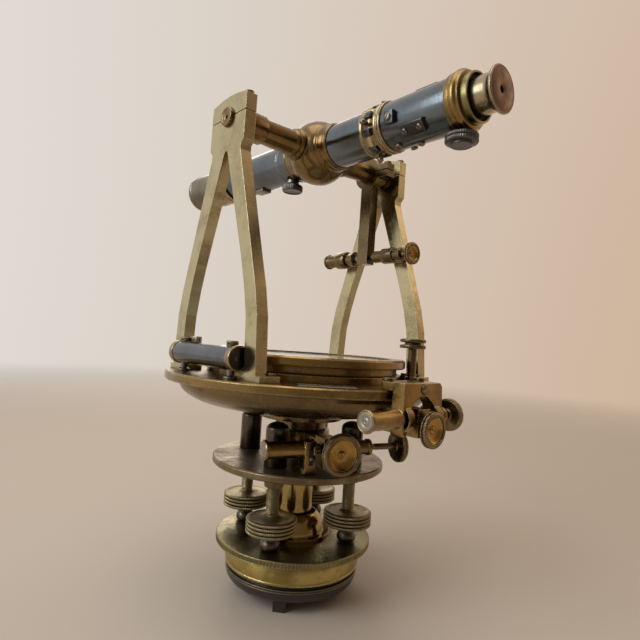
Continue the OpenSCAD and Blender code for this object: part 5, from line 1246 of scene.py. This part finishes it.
def makeCompass():
    f = compass
    top = at(0, 0, f["dialTop"])
    marks = Shape()
    for step, long, wide in ((1, 1.0, 0.11), (5, 1.5, 0.14), (10, 2.0, 0.18)):
        bar = Shape().block((long, wide, 0.06), at(long / 2, 0, 0.02), 0.01)
        marks.take(ringOf(bar, 360 // step, f["inner"], "inkAndHoleShade"), top)
    for n in range(36):
        degrees = n * 10
        value = min(degrees % 180, 180 - degrees % 180)
        place = top @ spun(-degrees) @ at(0, f["figures"], 0.03)
        marks.take(figure(str(value), f["figureSize"]), place)
    floor = at(0, 0, f["floor"])
    for r in (12.0, 40.0, 47.5):
        marks.turned([(r - 0.09, 0.005), (r + 0.09, 0.005), (r + 0.09, 0.05), (r - 0.09, 0.05)], floor, 120)
    arrow = Shape().sheet([(0, -1.6), (12.5, 0), (0, 1.6), (-3.0, 0)], 0.06, Matrix(), 0)
    marks.take(ringOf(arrow, 4, 24.0, "inkAndHoleShade"), floor)
    dart = Shape().sheet([(0, -0.7), (6.5, 0), (0, 0.7), (-1.2, 0)], 0.06, Matrix(), 0)
    marks.take(ringOf(dart, 4, 28.0, "inkAndHoleShade", start=45), floor)
    marks.piece("dialMarks", "alidade", "inkAndHoleShade", outward=False)
    half = f["needleHalf"]
    lie = at(0, 0, f["needleZ"]) @ spun(f["needleTurn"])
    north = Shape().sheet([(half, 0), (30.0, 1.1), (3.4, 1.7), (3.4, -1.7), (30.0, -1.1)], 0.7, lie, 0.12)
    north.piece("needleNorth", "needle", "bluedSteel", ["compass_needle"])
    south = Shape().sheet([(-half, 0), (-30.0, -1.1), (-3.4, -1.7), (-3.4, 1.7), (-30.0, 1.1)], 0.7, lie, 0.12)
    wound = [(1.3, 24.0)]
    for n in range(6):
        wound += [(1.45, 24.1 + 0.6 * n), (1.6, 24.3 + 0.6 * n), (1.45, 24.5 + 0.6 * n)]
    wound += [(1.3, 27.6), (0.95, 27.6), (0.95, 24.0)]
    south.turned(wound, lie @ at(0, 0, 0.35) @ along((0, 0, 0), (-1, 0, 0)), 20)
    south.piece("needleSouth", "needle", "steel")
    cap = Shape().turned([(0.9, -0.05), (3.6, -0.05), (3.9, 0.2), (3.9, 0.9), (3.3, 1.2), (2.2, 1.5), (1.5, 1.6),
                          (0.9, 1.5)], lie, 40)
    cap.piece("needleCap", "needle", "bellBrass")
    x, y = f["lifter"]
    place = at(x, y, footZ)
    disc = [(7.8, 23.0), (8.35, 23.1), (8.6, 23.5, True), (8.6, 24.9, True), (8.35, 25.3), (7.6, 25.4), (5.6, 25.5),
            (5.5, 26.9), (7.6, 27.0), (8.35, 27.1), (8.6, 27.5, True), (8.6, 28.8, True), (8.3, 29.2), (7.8, 29.4)]
    lifter = Shape().turned([(0, -2.4), (3.0, -2.4), (3.0, 0), (3.8, 0), (4.0, 0.3), (4.0, 3.6), (3.6, 4.0),
                             (2.95, 4.2), (2.95, 22.4), (3.6, 23.0)] + disc + [(3.0, 29.2), (2.6, 28.9), (0, 28.9)],
                            place, 96, 0.2)
    lifter.piece("lifterKnob", "lifter", "knobBrass", ["needle_lifter"])


# silvered limb and verniers seen through the two windows
circle = {"inner": 71.0, "outer": 76.9, "low": 127.42, "top": 127.62, "windowTurn": 60, "windowHalf": 12.6,
          "vernierInner": 77.2, "vernierOuter": 82.0, "vernierLow": 127.8, "vernierTop": 128.5}


def makeCircle():
    f = circle
    ring = Shape().turned([(f["inner"], f["low"]), (f["outer"], f["low"]), (f["outer"], f["top"]),
                           (f["inner"], f["top"])], segments=180)
    ring.piece("limbCircle", "limb", "circleFace", sharp=40)
    marks = Shape()
    top = at(0, 0, f["top"])
    for count, long in ((720, 1.3), (360, 2.0), (72, 2.7)):
        bar = Shape().block((long, 0.13, 0.04), at(-long / 2, 0, 0.015), 0.01)
        marks.take(ringOf(bar, count, f["outer"] - 0.1, "inkAndHoleShade"), top)
    for n in range(36):
        place = top @ spun(-n * 10) @ at(0, f["outer"] - 4.3, 0.02)
        marks.take(figure(str(n * 10), 1.9), place)
    marks.piece("limbMarks", "limb", "inkAndHoleShade", outward=False)
    verniers, lines = Shape(), Shape()
    for turn in (f["windowTurn"], f["windowTurn"] + 180):
        count = 24
        arc = [(f["vernierInner"], -f["windowHalf"] + 2 * f["windowHalf"] * i / count) for i in range(count + 1)]
        arc += [(f["vernierOuter"], a) for _, a in reversed(arc)]
        outline = [(r * math.cos(math.radians(a)), r * math.sin(math.radians(a))) for r, a in arc]
        verniers.sheet(outline, f["vernierTop"] - f["vernierLow"], at(0, 0, f["vernierLow"]) @ spun(turn), 0)
        spot = at(0, 0, f["vernierTop"]) @ spun(turn)
        bar = Shape().block((1.6, 0.13, 0.05), at(0.8, 0, 0.02), 0.01)
        lines.take(ringOf(bar, 31, f["vernierInner"] + 0.1, "inkAndHoleShade", start=-7.25, step=0.4833), spot)
        for n, value in enumerate((0, 10, 20, 30)):
            lines.take(figure(str(value), 1.5), spot @ spun(-7.25 + 4.833 * n - 90) @
                       at(0, f["vernierInner"] + 2.7, 0.02))
    verniers.piece("vernierArcs", "alidade", "circleFace", sharp=40)
    lines.piece("vernierMarks", "alidade", "inkAndHoleShade", outward=False)


makePlateLevel()
makeCompass()
makeCircle()
print("level, compass and circle made")


def makeFloor():
    mesh = bpy.data.meshes.new("floor")
    shape = bmesh.new()
    bmesh.ops.create_circle(shape, cap_ends=True, segments=96, radius=room["floorRadius"])
    bmesh.ops.translate(shape, verts=shape.verts, vec=(0, 0, cadBox[0].z))
    shape.to_mesh(mesh)
    shape.free()
    floor = bpy.data.objects.new("floor", mesh)
    bpy.context.scene.collection.objects.link(floor)
    f = Finish("floorPaint")
    reach = f.radius(f.x, f.y) * mm
    faint = f.noise(f.point, 0.01, 3.0, 0.6)
    tone = f.blend(faint * 0.5, rgba(room["floor"]), rgba(room["floor"], 0.94))
    matt = f.node("BsdfPrincipled", {}, {"Base Color": tone, "Roughness": 0.7, "Specular IOR Level": 0.2})
    clear = f.node("BsdfTransparent")
    gone = f.ease(reach, *room["floorFade"])
    f.node("OutputMaterial", {}, {0: f.node("MixShader", {}, {0: gone, 1: matt, 2: clear})})
    mesh.materials.append(f.material)


makeFloor()
print("floor laid")
